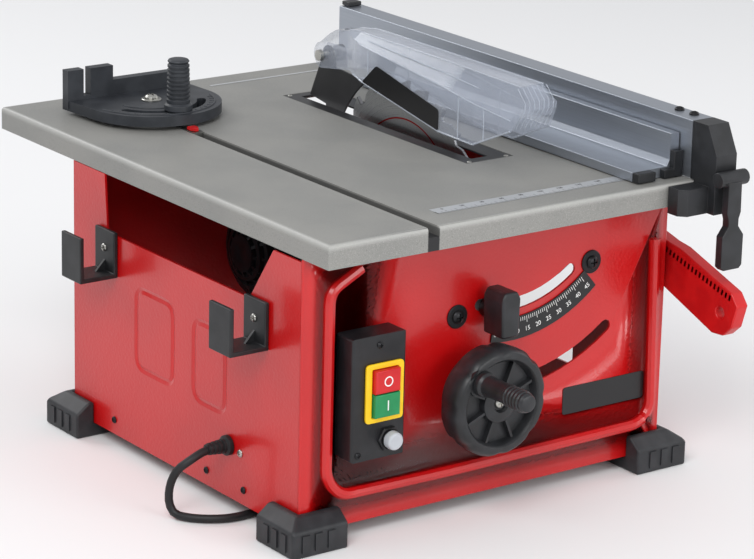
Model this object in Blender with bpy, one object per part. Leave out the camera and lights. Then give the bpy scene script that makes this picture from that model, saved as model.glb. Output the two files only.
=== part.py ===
"""Benchtop table saw. Metres, +Z up, front facing -Y.

Every sub-part is modelled in the saw's own design frame, whose zero is the middle of the
table's upper face. The "placement" empty then stands the whole saw on z = 0.
"""
import math

import bmesh
import bpy
from mathutils import Matrix, Vector

# Driving dimensions.
GAP = 0.0003
TABLE_WIDTH, TABLE_DEPTH, TABLE_RIM, TABLE_SHEET = 0.372, 0.505, 0.0195, 0.002
STAND_HEIGHT = 0.260
HALF_W, HALF_D = TABLE_WIDTH / 2, TABLE_DEPTH / 2
CAB_X, CAB_FRONT, CAB_REAR, CAB_LOW, CAB_SHEET = 0.1865, -0.2190, 0.1280, -0.2480, 0.002
FOOT_PROUD, FOOT_X, FOOT_Y, FOOT_TALL, FOOT_SOLE = 0.018, 0.054, 0.053, 0.031, 0.0115
SLOT_LOW_X, SLOT_HIGH_X, SLOT_DEEP = -0.0912, -0.0802, 0.0082
INSERT_LOW, INSERT_HIGH, INSERT_THICK = (0.052, -0.114), (0.102, 0.160), 0.0017
BLADE_X, BLADE_R, BLADE_THICK, BLADE_DEEP = 0.074, 0.105, 0.0024, 0.060
TILT_AXIS_Z, TRUNNION_R = -0.003, 0.098
GUIDE_X, GUIDE_Z = 0.020, 0.015
KNOB_RING, WHEEL_RING, REST_ANGLE = 0.105, 0.174, math.radians(-14.0)
MOTOR_Y, MOTOR_DEEP, MOTOR_R = 0.010, 0.088, 0.042
GUARD_Y, GUARD_Z = 0.120, 0.044
FENCE_X, FENCE_WIDE, FENCE_TALL, FENCE_FRONT, FENCE_REAR = 0.1816, 0.0225, 0.050, -0.2490, 0.2560
GAUGE_X, GAUGE_Y, GAUGE_R = -0.0857, 0.163, 0.062
CORD_R = 0.0035

for old in list(bpy.data.objects):
    bpy.data.objects.remove(old, do_unlink=True)

FINISHES = {
    "red_coat": ((0.62, 0.008, 0.008), 0.35, 0.0),
    "table_paint": ((0.30, 0.30, 0.295), 0.5, 0.0),
    "black_plastic": ((0.025, 0.026, 0.030), 0.5, 0.0),
    "aluminium": ((0.56, 0.58, 0.62), 0.35, 1.0),
    "steel": ((0.50, 0.50, 0.50), 0.3, 1.0),
    "brass": ((0.60, 0.42, 0.16), 0.35, 1.0),
    "clear_plastic": ((0.80, 0.83, 0.88), 0.1, 0.0),
    "red_plastic": ((0.55, 0.012, 0.012), 0.45, 0.0),
    "green_plastic": ((0.10, 0.35, 0.18), 0.5, 0.0),
    "grey_plastic": ((0.45, 0.45, 0.46), 0.4, 0.0),
    "rubber": ((0.02, 0.02, 0.02), 0.7, 0.0),
}


def finish(name):
    """The Principled material called name, made once."""
    if name in bpy.data.materials:
        return bpy.data.materials[name]
    colour, roughness, metallic = FINISHES[name]
    material = bpy.data.materials.new(name)
    material.use_nodes = True
    shader = material.node_tree.nodes["Principled BSDF"]
    shader.inputs["Base Color"].default_value = (*colour, 1.0)
    shader.inputs["Roughness"].default_value = roughness
    shader.inputs["Metallic"].default_value = metallic
    return material


placement = bpy.data.objects.new("placement", None)
bpy.context.collection.objects.link(placement)


def add(name, form, material, pivot=(0, 0, 0)):
    """Turn the bmesh form into an object whose origin is at pivot."""
    bmesh.ops.translate(form, verts=form.verts, vec=-Vector(pivot))
    bmesh.ops.recalc_face_normals(form, faces=form.faces)
    mesh = bpy.data.meshes.new(name)
    form.to_mesh(mesh)
    form.free()
    mesh.materials.append(finish(material))
    piece = bpy.data.objects.new(name, mesh)
    piece.location = pivot
    piece.parent = placement
    bpy.context.collection.objects.link(piece)
    return piece


def block(low, high):
    """A box between two corners."""
    form = bmesh.new()
    middle = (Vector(low) + Vector(high)) / 2
    size = Vector(high) - Vector(low)
    matrix = Matrix.Translation(middle) @ Matrix.Diagonal((*size, 1))
    bmesh.ops.create_cube(form, size=1, matrix=matrix)
    return form


AXES = {"x": lambda a, u, v: (a, u, v), "y": lambda a, u, v: (u, a, v), "z": lambda a, u, v: (u, v, a)}


def prism(axis, start, end, outline):
    """An outline in the two other coordinates, extruded along axis from start to end."""
    form = bmesh.new()
    first = [form.verts.new(AXES[axis](start, u, v)) for u, v in outline]
    face = form.faces.new(first)
    grown = bmesh.ops.extrude_face_region(form, geom=[face])
    moved = [g for g in grown["geom"] if isinstance(g, bmesh.types.BMVert)]
    bmesh.ops.translate(form, verts=moved, vec=AXES[axis](end - start, 0, 0))
    return form


def arc(centre, radius, first, last, steps):
    """Points on a circle; angles in degrees from the first to the second coordinate."""
    turn = [math.radians(first + (last - first) * i / steps) for i in range(steps + 1)]
    return [(centre[0] + radius * math.cos(t), centre[1] + radius * math.sin(t)) for t in turn]


def ring(centre, radius, steps):
    return arc(centre, radius, 0, 360 * (steps - 1) / steps, steps - 1)


def band(centre, radius, half, first, last, steps=12):
    """A curved slot's outline: an arc of the given half width with round ends."""
    outer = arc(centre, radius + half, first, last, steps)
    end = arc(arc(centre, radius, last, last, 1)[0], half, last, last + 180, 5)[1:-1]
    inner = arc(centre, radius - half, last, first, steps)
    start = arc(arc(centre, radius, first, first, 1)[0], half, first + 180, first + 360, 5)[1:-1]
    return outer + end + inner + start


def turned(axis, centre, profile, steps=24):
    """A closed turned solid. The profile holds (place along the axis, radius) pairs."""
    form = bmesh.new()
    rows = []
    for along, radius in profile:
        if radius < 1e-6:
            rows.append([form.verts.new(AXES[axis](along, *centre))])
            continue
        rows.append([form.verts.new(AXES[axis](along, u, v)) for u, v in ring(centre, radius, steps)])
    for one, two in zip(rows, rows[1:]):
        for i in range(steps):
            j = (i + 1) % steps
            quad = [one[i % len(one)], one[j % len(one)], two[j % len(two)], two[i % len(two)]]
            form.faces.new(list(dict.fromkeys(quad)))
    for row in (rows[0], rows[-1]):
        if len(row) > 1:
            form.faces.new(row)
    return form


def boolean(piece, form, operation="DIFFERENCE"):
    """Cut the form out of the piece, or join it on."""
    tool = add(piece.name + ".tool", form, "steel")
    tool.hide_render = True
    tool.display_type = "WIRE"
    modifier = piece.modifiers.new("shape", "BOOLEAN")
    modifier.object = tool
    modifier.operation = operation
    return piece


def cut(piece, *forms):
    for form in forms:
        boolean(piece, form)
    return piece


def join(piece, *forms):
    for form in forms:
        boolean(piece, form, "UNION")
    return piece


def smooth(piece, angle=35.0):
    piece.data.shade_smooth()
    piece.data.set_sharp_from_angle(angle=math.radians(angle))
    return piece


def around(centre, radius, angle):
    """The place at an angle from straight down, growing towards +X."""
    return centre[0] + radius * math.sin(angle), centre[1] - radius * math.cos(angle)


GUIDE = (GUIDE_X, GUIDE_Z)
KNOB_X, KNOB_Z = around(GUIDE, KNOB_RING, REST_ANGLE)
WHEEL_X, WHEEL_Z = around(GUIDE, WHEEL_RING, REST_ANGLE)


def slot_outline(radius, half):
    """A slot around the guide's centre, a little longer than the 45 degree travel."""
    return band(GUIDE, radius, half, -90 - 17.5, -90 + 36)


def table():
    """Folded sheet top with its rim, the gauge channel and the stepped insert opening."""
    low = (-HALF_W, -HALF_D, -TABLE_RIM)
    top = add("table_top", block(low, (HALF_W, HALF_D, 0)), "table_paint")
    s = TABLE_SHEET
    inner = block((-HALF_W + s, -HALF_D + s, -TABLE_RIM - s), (HALF_W - s, HALF_D - s, -s))
    cut(top, inner)
    channel = block((SLOT_LOW_X - s, -HALF_D + 0.001, -SLOT_DEEP - s),
                    (SLOT_HIGH_X + s, HALF_D - 0.001, -0.001))
    (x0, y0), (x1, y1) = INSERT_LOW, INSERT_HIGH
    ledge = block((x0 - s, y0 - s, -0.0045), (x1 + s, y1 + s, -0.001))
    join(top, channel, ledge)
    slot = block((SLOT_LOW_X, -HALF_D - s, -SLOT_DEEP), (SLOT_HIGH_X, HALF_D + s, s))
    recess = block((x0, y0, -0.0023), (x1, y1, s))
    hole = block((x0 + 0.003, y0 + 0.005, -0.01), (x1 - 0.003, y1 - 0.005, s))
    cut(top, slot, recess, hole)
    g = 0.0004
    outline = [(x0 + g, y0 + g), (x1 - g, y0 + g), (x1 - g, y1 - g), (x0 + g, y1 - g)]
    pivot = ((x0 + x1) / 2, (y0 + y1) / 2, 0)
    insert = add("table_insert", prism("z", -0.0020, -0.0003, outline), "black_plastic", pivot)
    cut(insert, block((BLADE_X - 0.008, -0.102, -0.01), (BLADE_X + 0.009, 0.150, 0.01)))


def cabinet():
    """Front, side and rear sheets of the cabinet."""
    s, inside = CAB_SHEET, -TABLE_SHEET - GAP
    under_rim = -TABLE_RIM - GAP
    lip = HALF_W - TABLE_SHEET - GAP
    wide = [(-CAB_X, CAB_LOW), (CAB_X, CAB_LOW), (CAB_X, under_rim), (lip, under_rim), (lip, inside),
            (-lip, inside), (-lip, under_rim), (-CAB_X, under_rim)]
    front = add("front_panel", prism("y", CAB_FRONT, CAB_FRONT + s, wide), "red_coat")
    channel = block((SLOT_LOW_X - 0.0025, CAB_FRONT - 0.01, -0.011),
                    (SLOT_HIGH_X + 0.0025, CAB_FRONT + 0.01, 0))
    cut(front, channel)
    for radius, half in ((KNOB_RING, 0.0052), (WHEEL_RING, 0.0055)):
        cut(front, prism("y", CAB_FRONT - 0.01, CAB_FRONT + 0.01, slot_outline(radius, half)))
    rear = add("rear_panel", prism("y", CAB_REAR - s, CAB_REAR, wide), "red_coat")
    channel = block((SLOT_LOW_X - 0.0025, CAB_REAR - 0.01, -0.011),
                    (SLOT_HIGH_X + 0.0025, CAB_REAR + 0.01, 0))
    port = turned("y", (0.060, -0.165), [(CAB_REAR - 0.01, 0.019), (CAB_REAR + 0.01, 0.019)])
    notch = block((BLADE_X - 0.034, CAB_REAR - 0.01, -0.034), (BLADE_X + 0.036, CAB_REAR + 0.01, 0.01))
    cut(rear, channel, port, notch)
    y0, y1 = CAB_FRONT + s + GAP, CAB_REAR - s - GAP
    window = [(y0, CAB_LOW), (y1, CAB_LOW), (y1, under_rim), (0.076, under_rim), (0.072, -0.070),
              (-0.145, -0.070), (-0.178, -0.022), (y0, -0.022)]
    add("left_panel", prism("x", -CAB_X, -CAB_X + s, window), "red_coat")
    whole = [(y0, CAB_LOW), (y1, CAB_LOW), (y1, under_rim), (y0, under_rim)]
    right = add("right_panel", prism("x", CAB_X - s, CAB_X, whole), "red_coat")
    cut(right, block((CAB_X - 0.01, -0.104, -0.205), (CAB_X + 0.01, 0.104, -0.088)))
    dust = add("dust_port", turned("y", (0.060, -0.165), [(CAB_REAR + GAP, 0.026),
                                                          (CAB_REAR + 0.003, 0.026),
               (CAB_REAR + 0.003, 0.018), (CAB_REAR + 0.030, 0.0175)]), "black_plastic")
    cut(dust, turned("y", (0.060, -0.165), [(CAB_REAR - 0.01, 0.0155), (CAB_REAR + 0.04, 0.0155)]))
    smooth(dust)


def feet():
    """Four plastic corner shoes that wrap the cabinet's lower corners."""
    floor = -STAND_HEIGHT
    for name, sx, sy in (("front_left", -1, -1), ("front_right", 1, -1), ("rear_left", -1, 1),
                         ("rear_right", 1, 1)):
        edge_x = CAB_X + FOOT_PROUD
        edge_y = (CAB_REAR if sy > 0 else -CAB_FRONT) + FOOT_PROUD
        xs = sorted((sx * edge_x, sx * (edge_x - FOOT_X)))
        ys = sorted((sy * edge_y, sy * (edge_y - FOOT_Y)))
        outline = [(xs[0], ys[0]), (xs[1], ys[0]), (xs[1], ys[1]), (xs[0], ys[1])]
        form = prism("z", floor, floor + FOOT_TALL - 0.009, outline)
        upper = [v for v in form.verts if v.co.z > floor + 0.001]
        top = [f for f in form.faces if all(v in upper for v in f.verts)]
        raised = bmesh.ops.extrude_face_region(form, geom=top)["geom"]
        bmesh.ops.delete(form, geom=top, context="FACES_ONLY")
        for vertex in [g for g in raised if isinstance(g, bmesh.types.BMVert)]:
            vertex.co.z += 0.009
            if abs(vertex.co.x - sx * edge_x) < 1e-5:
                vertex.co.x -= sx * (FOOT_PROUD - 0.006)
            if abs(vertex.co.y - sy * edge_y) < 1e-5:
                vertex.co.y -= sy * (FOOT_PROUD - 0.006)
        foot = add("foot_" + name, form, "black_plastic")
        wall_x, wall_y = sx * (CAB_X + GAP), sy * (edge_y - FOOT_PROUD + GAP)
        px = sorted((wall_x, wall_x - sx * 0.1))
        py = sorted((wall_y, wall_y - sy * 0.1))
        cut(foot, block((px[0], py[0], floor + FOOT_SOLE), (px[1], py[1], 0)))


def side_hooks():
    """Two U-shaped holders clipped over the left panel's window edge."""
    wall, out = CAB_X + GAP, 0.037
    for name, y in (("rear", 0.0695), ("front", -0.1585)):
        t = 0.004
        outline = [(-wall, -0.066), (-wall, -0.106), (-wall - out, -0.106), (-wall - out, -0.066),
                   (-wall - out + t, -0.066), (-wall - out + t, -0.106 + t), (-wall - t, -0.106 + t),
                   (-wall - t, -0.066)]
        add("side_hook_" + name, prism("y", y - 0.0155, y + 0.0155, outline), "black_plastic")


def switch():
    """Switch box on the front panel with its bezel, two buttons and the overload reset."""
    face, back = CAB_FRONT - 0.023, CAB_FRONT - GAP
    box = add("switch_box", block((-0.1535, face, -0.187), (-0.1015, back, -0.084)), "black_plastic")
    cut(box, block((-0.1355, face - 0.01, -0.1515), (-0.1105, face + 0.012, -0.1115)))
    cut(box, turned("y", (-0.1180, -0.1715), [(face - 0.01, 0.0052), (face + 0.012, 0.0052)], 16))
    for name, low, high, colour in (("stop_button", -0.1311, -0.1119, "red_plastic"),
                                    ("start_button", -0.1511, -0.1319, "green_plastic")):
        form = block((-0.1350, face - 0.0065, low), (-0.1110, face + 0.008, high))
        add(name, form, colour, (-0.123, face, (low + high) / 2))
    profile = [(face + 0.008, 0.0048), (face - 0.0045, 0.0048), (face - 0.0050, 0.0078),
               (face - 0.0120, 0.0070)]
    smooth(add("reset_button", turned("y", (-0.1180, -0.1715), profile, 16), "grey_plastic",
               (-0.118, face, -0.1715)))


def front_trim():
    """Angle scale on the front panel."""
    face = CAB_FRONT - GAP
    outline = arc(GUIDE, 0.136, -98.5, -49, 14) + arc(GUIDE, 0.1165, -49, -98.5, 14)
    add("tilt_scale_plate", prism("y", face - 0.001, face, outline), "black_plastic")


def front_guide():
    """Swinging plate behind the front panel with the handwheel, its crank and the clamp knob."""
    pivot = (GUIDE_X, CAB_FRONT, GUIDE_Z)
    back = CAB_FRONT + CAB_SHEET + 0.0006
    top_x, top_z = around(GUIDE, KNOB_RING - 0.014, REST_ANGLE)
    low_x, low_z = around(GUIDE, WHEEL_RING + 0.014, REST_ANGLE)
    side = Vector((math.cos(REST_ANGLE), math.sin(REST_ANGLE))) * 0.013
    outline = [(top_x - side.x, top_z - side.y), (low_x - side.x, low_z - side.y),
               (low_x + side.x, low_z + side.y), (top_x + side.x, top_z + side.y)]
    plate = add("guide_plate", prism("y", back, back + 0.003, outline), "steel", pivot)
    cut(plate, turned("y", (WHEEL_X, WHEEL_Z), [(back - 0.01, 0.0043), (back + 0.01, 0.0043)], 16))
    cut(plate, turned("y", (KNOB_X, KNOB_Z), [(back - 0.01, 0.0033), (back + 0.01, 0.0033)], 16))
    front = CAB_FRONT
    profile = [(back + 0.0135, 0.0095), (back + 0.0105, 0.0095), (back + 0.0036, 0.0075),
               (back + 0.0036, 0.0040),
               (front - 0.044, 0.0040)]
    smooth(add("handwheel_shaft", turned("y", (WHEEL_X, WHEEL_Z), profile, 16), "steel",
               (WHEEL_X, front, WHEEL_Z)))
    near, far = front - 0.013, front - 0.048
    profile = [(near, 0.014), (near - 0.002, 0.038), (near - 0.012, 0.0455), (far + 0.006, 0.0460),
               (far, 0.043),
               (far, 0.020), (far + 0.009, 0.0185)]
    wheel = add("handwheel", turned("y", (WHEEL_X, WHEEL_Z), profile, 40), "black_plastic",
                (WHEEL_X, near, WHEEL_Z))
    cut(wheel, turned("y", (WHEEL_X, WHEEL_Z), [(near + 0.01, 0.0043), (far - 0.01, 0.0043)], 16))
    smooth(wheel)
    hx, hz = WHEEL_X - 0.0215, WHEEL_Z + 0.0215
    cut(wheel, turned("y", (hx, hz), [(far + 0.010, 0.0063), (far - 0.01, 0.0063)], 16))
    profile = [(far + 0.009, 0.0060), (far - GAP * 2, 0.0060), (far - GAP * 2, 0.0105),
               (far - 0.054, 0.0090),
               (far - 0.060, 0.0065)]
    smooth(add("crank_handle", turned("y", (hx, hz), profile, 20), "black_plastic", (hx, far, hz)))
    profile = [(back + 0.006, 0.0030), (front - 0.012, 0.0030)]
    knob = add("tilt_knob", turned("y", (KNOB_X, KNOB_Z), profile, 16), "black_plastic",
               (KNOB_X, front, KNOB_Z))
    wing = [(KNOB_X - 0.0085, KNOB_Z - 0.0185), (KNOB_X + 0.0085, KNOB_Z - 0.0185),
            (KNOB_X + 0.0095, KNOB_Z + 0.014),
            (KNOB_X + 0.006, KNOB_Z + 0.020), (KNOB_X - 0.006, KNOB_Z + 0.020), (KNOB_X - 0.0095,
                                                                                 KNOB_Z + 0.014)]
    join(knob, turned("y", (KNOB_X, KNOB_Z), [(front - 0.0015, 0.0085), (front - 0.012, 0.0085)], 20))
    join(knob, prism("y", front - 0.0095, front - 0.034, wing))


def trunnions():
    """Fixed curved guides under the table and the frame that swings in them."""
    axis = (BLADE_X, TILT_AXIS_Z)
    for name, y, pin_to in (("front", -0.150, 1), ("rear", 0.118, -1)):
        sector = arc(axis, TRUNNION_R + 0.010, -177, -3, 24) + arc(axis, TRUNNION_R - 0.010, -3, -177, 20)
        plate = add(name + "_trunnion", prism("y", y - 0.0025, y + 0.0025, sector), "steel")
        cut(plate, prism("y", y - 0.01, y + 0.01, band(axis, TRUNNION_R, 0.0046, -90 - 4, -90 + 49)))
        profile = [(y - pin_to * 0.0065, 0.0085), (y - pin_to * 0.0030, 0.0085),
                   (y - pin_to * 0.0030, 0.0040),
                   (y + pin_to * 0.0105, 0.0040)]
        pin = add(name + "_trunnion_pin", turned("y", (BLADE_X, TILT_AXIS_Z - TRUNNION_R), profile, 16),
                  "steel",
                  (BLADE_X, y, TILT_AXIS_Z))
        smooth(pin)


def tilt_frame():
    """Sheet frame that hangs in the trunnions and carries the lifting screw."""
    x0, x1 = 0.030, 0.034
    y0, y1 = -0.1450, 0.1130
    outline = [(y0, -0.040), (y0, -0.182), (y1, -0.182), (y1, -0.040)]
    frame = add("tilt_frame", prism("x", x0, x1, outline), "steel", (BLADE_X, 0, TILT_AXIS_Z))
    low, high = MOTOR_Y - MOTOR_R - 0.004, MOTOR_Y + MOTOR_R + 0.004
    cut(frame, block((x0 - 0.01, low, -0.158), (x1 + 0.01, high, -0.030)))
    for y in (y0, y1 - 0.004):
        ear = block((x0 + 0.001, y, -0.115), (BLADE_X + 0.010, y + 0.004, -0.087))
        join(frame, ear)
    for y in (y0, y1 - 0.004):
        cut(frame, turned("y", (BLADE_X, TILT_AXIS_Z - TRUNNION_R),
                          [(y - 0.01, 0.0043), (y + 0.01, 0.0043)], 16))
    join(frame, block((-0.002, -0.119, -0.178), (x0 + 0.001, -0.085, -0.174)))
    join(frame, block((-0.002, -0.119, -0.052), (x0 + 0.001, -0.085, -0.048)))
    for z in (-0.176, -0.050):
        cut(frame, turned("z", (0.010, -0.102), [(z - 0.01, 0.0043), (z + 0.01, 0.0043)], 16))
    profile = [(-0.184, 0.0085), (-0.1785, 0.0085), (-0.1785, 0.0040), (-0.0475, 0.0040)]
    smooth(add("lift_screw", turned("z", (0.010, -0.102), profile, 16), "steel", (0.010, -0.102, -0.1)))


def saw_unit():
    """Gear case, motor, arbor and blade, which rise and fall together."""
    az = -BLADE_DEEP
    case = add("gear_case", block((0.037, -0.032, az - 0.062), (0.058, 0.046, az + 0.026)), "aluminium")
    cut(case, block((0.030, -0.029, az - 0.059), (0.055, 0.043, az + 0.023)))
    cut(case, turned("x", (0, az), [(0.05, 0.0083), (0.07, 0.0083)], 20))
    nut = add("lift_nut", block((0.0005, -0.112, az - 0.038), (0.0195, -0.092, az - 0.018)), "brass")
    cut(nut, turned("z", (0.010, -0.102), [(az - 0.06, 0.0044), (az, 0.0044)], 16))
    join(nut, block((0.019, -0.110, az - 0.036), (0.0290, -0.094, az - 0.020)))
    join(nut, block((0.0280, -0.100, az - 0.036), (0.0290, MOTOR_Y - MOTOR_R - 0.0005, az - 0.020)))
    my, mz = MOTOR_Y, -MOTOR_DEEP
    profile = [(0.0367, 0.040), (0.0290, 0.040), (0.0290, 0.0418), (-0.070, 0.0418)]
    motor = add("motor_housing", turned("x", (my, mz), profile, 36), "black_plastic")
    cut(motor, turned("x", (my, mz), [(0.05, 0.034), (-0.080, 0.034)], 28))
    smooth(motor)
    profile = [(-0.0703, 0.0418), (-0.080, 0.0400), (-0.088, 0.032), (-0.092, 0.016)]
    cap = add("motor_end_cap", turned("x", (my, mz), profile, 36), "black_plastic")
    cut(cap, turned("x", (my, mz), [(-0.060, 0.0045), (-0.086, 0.0045)], 16))
    smooth(cap)
    profile = [(0.0535, 0.0042), (0.0410, 0.0042), (0.0410, 0.0055), (0.0250, 0.0055), (0.0250, 0.024),
               (-0.0450, 0.024), (-0.0450, 0.0040), (-0.084, 0.0040)]
    rotor = add("motor_armature", turned("x", (my, mz), profile, 24), "steel", (0, my, mz))
    smooth(rotor)
    teeth = gear_outline((my, mz), 11, 0.0072, 0.0091)
    join(rotor, prism("x", 0.0420, 0.0530, teeth))
    fan = [p for i in range(10) for p in arc((my, mz), 0.031 if i % 2 else 0.012, i * 36, i * 36 + 26, 3)]
    join(rotor, prism("x", -0.0490, -0.0580, fan))
    profile = [(0.0390, 0.0078), (0.0600, 0.0078), (0.0600, 0.0125), (0.0640, 0.0125), (0.0640, 0.0078),
               (0.0850, 0.0078)]
    arbor = smooth(add("arbor", turned("x", (0, az), profile, 20), "steel", (BLADE_X, 0, az)))
    join(arbor, prism("x", 0.0420, 0.0530, gear_outline((0, az), 26, 0.0178, 0.0200)))
    half = BLADE_THICK / 2
    blade = add("saw_blade", prism("x", BLADE_X - half, BLADE_X + half, blade_outline((0, az))), "steel",
                (BLADE_X, 0, az))
    cut(blade, turned("x", (0, az), [(0.06, 0.0081), (0.09, 0.0081)], 20))
    for name, low, high in (("inner", 0.0643, BLADE_X - half - GAP),
                            ("outer", BLADE_X + half + GAP, 0.0795)):
        flange = add(name + "_flange", turned("x", (0, az), [(low, 0.0230), (high, 0.0230)], 28), "steel",
                     (BLADE_X, 0, az))
        cut(flange, turned("x", (0, az), [(0.06, 0.0081), (0.09, 0.0081)], 20))
    nut = add("arbor_nut", prism("x", 0.0798, 0.0865, ring((0, az), 0.0140, 6)), "steel", (BLADE_X, 0, az))
    cut(nut, turned("x", (0, az), [(0.07, 0.0081), (0.09, 0.0081)], 20))


def gear_outline(centre, teeth, root, tip):
    points = []
    step = 360 / teeth
    for i in range(teeth):
        points += arc(centre, root, i * step, i * step + 0.30 * step, 1)
        points += arc(centre, tip, i * step + 0.45 * step, i * step + 0.85 * step, 1)
    return points


def blade_outline(centre):
    """Twenty-four carbide teeth, each a steep face and a sloping back."""
    points, teeth = [], 24
    step = 360 / teeth
    for i in range(teeth):
        start = i * step
        points += arc(centre, BLADE_R, start, start, 1)[:1]
        points += arc(centre, BLADE_R - 0.0085, start + 0.03 * step, start + 0.03 * step, 1)[:1]
        points += arc(centre, BLADE_R - 0.0105, start + 0.22 * step, start + 0.22 * step, 1)[:1]
        points += arc(centre, BLADE_R - 0.0050, start + 0.50 * step, start + 0.50 * step, 1)[:1]
    return points


def shroud_and_knife():
    """Dust shroud below the blade, the riving knife and the clamp that holds it."""
    az = -BLADE_DEEP
    outer = arc((0, az), 0.1120, -160, -20, 24)
    inner = arc((0, az), 0.1090, -159, -21, 24)
    half = 0.0095
    shroud = add("blade_shroud", prism("x", BLADE_X - half, BLADE_X + half, outer), "black_plastic")
    raised = [(y, z if 0 < i < len(inner) - 1 else z + 0.01) for i, (y, z) in enumerate(inner)]
    cut(shroud, prism("x", BLADE_X - half + 0.0015, BLADE_X + half - 0.0015, raised))
    clear = 0.1095
    front = arc((0, az), clear, math.degrees(math.asin((0.031 - az) / clear)), -4, 12)
    eye = arc((GUARD_Y, GUARD_Z), 0.0082, -10, 160, 8)
    outline = front + [(0.1220, -0.068), (0.1220, -0.002), (0.1470, 0.0015)] + eye + [(0.1090, 0.0340)]
    knife = add("riving_knife", prism("x", BLADE_X - 0.0010, BLADE_X + 0.0010, outline), "black_plastic")
    cut(knife, turned("x", (GUARD_Y, GUARD_Z), [(0.06, 0.0033), (0.09, 0.0033)], 16))
    clamp = add("knife_clamp", block((0.0583, 0.0300, -0.066), (BLADE_X - 0.0013, 0.0450, -0.046)), "steel")
    join(clamp, block((0.0690, 0.0440, -0.066), (BLADE_X - 0.0013, 0.1215, -0.046)))
    cut(clamp, turned("x", (0, az), [(0.05, 0.0245), (0.09, 0.0245)], 24))


def hood_form(inset, stations):
    """A hood lofted along Y through (y, half width, foot, shoulder, half roof, roof) sections."""
    form = bmesh.new()
    rows = []
    for y, wide, foot, shoulder, roof_wide, roof in stations:
        w, r = wide - inset, roof_wide - inset / 2
        section = [(-w, foot), (-w, shoulder), (-r, roof - inset), (r, roof - inset), (w, shoulder),
                   (w, foot)]
        rows.append([form.verts.new((BLADE_X + x, y, z)) for x, z in section])
    for one, two in zip(rows, rows[1:]):
        for i in range(6):
            j = (i + 1) % 6
            form.faces.new([one[i], one[j], two[j], two[i]])
    form.faces.new(rows[0])
    form.faces.new(rows[-1])
    return form


HOOD_OUTSIDE = [
    (-0.1800, 0.0185, 0.0580, 0.0635, 0.0120, 0.0680), (-0.1690, 0.0215, 0.0390, 0.0490, 0.0120, 0.0765),
    (-0.1210, 0.0220, 0.0172, 0.0530, 0.0110, 0.0770), (-0.0730, 0.0220, 0.0180, 0.0590, 0.0100, 0.0775),
    (0.0390, 0.0220, 0.0376, 0.0700, 0.0100, 0.0777), (0.0600, 0.0160, 0.0390, 0.0720, 0.0090, 0.0777),
    (0.0800, 0.0082, 0.0400, 0.0715, 0.0060, 0.0750)]
HOOD_INSIDE = [
    (-0.1775, 0.0190, 0.0590, 0.0625, 0.0120, 0.0680), (-0.1665, 0.0215, -0.0100, 0.0480, 0.0120, 0.0765),
    (-0.1200, 0.0220, -0.0100, 0.0520, 0.0110, 0.0770), (-0.0730, 0.0220, -0.0100, 0.0580, 0.0100, 0.0775),
    (0.0380, 0.0220, -0.0100, 0.0685, 0.0100, 0.0777), (0.0580, 0.0160, -0.0100, 0.0700, 0.0090, 0.0770),
    (0.0740, 0.0082, -0.0100, 0.0690, 0.0060, 0.0740)]
HOOD_WALL = 0.0022


def guard():
    """Clear blade guard on its cross bolt at the top of the riving knife."""
    y, z = GUARD_Y, GUARD_Z
    pivot = (BLADE_X, y, z)
    hood = add("guard_hood", hood_form(0.0, HOOD_OUTSIDE), "clear_plastic", pivot)
    cut(hood, hood_form(HOOD_WALL, HOOD_INSIDE))
    ears = [(0.070, 0.0400), (0.118, 0.0325)] + arc((y, z), 0.012, -80, 80, 8)
    ears += [(0.108, 0.0660), (0.098, 0.0713), (0.070, 0.0750)]
    join(hood, prism("x", BLADE_X - 0.0080, BLADE_X + 0.0080, ears))
    slot = [(0.060, 0.0100), (0.150, 0.0100), (0.150, 0.0530), (0.060, 0.0530)]
    cut(hood, prism("x", BLADE_X - 0.0045, BLADE_X + 0.0045, slot))
    cut(hood, turned("x", (y, z), [(0.05, 0.0033), (0.10, 0.0033)], 16))
    profile = [(BLADE_X - 0.0120, 0.0050), (BLADE_X - 0.0085, 0.0050), (BLADE_X - 0.0085, 0.0030),
               (BLADE_X + 0.0150, 0.0030)]
    smooth(add("guard_bolt", turned("x", (y, z), profile, 16), "steel", pivot))
    profile = [(BLADE_X + 0.0085, 0.0075), (BLADE_X + 0.0145, 0.0075)]
    nut = add("guard_nut", turned("x", (y, z), profile, 12), "black_plastic", pivot)
    cut(nut, turned("x", (y, z), [(BLADE_X, 0.0033), (BLADE_X + 0.02, 0.0033)], 16))


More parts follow.
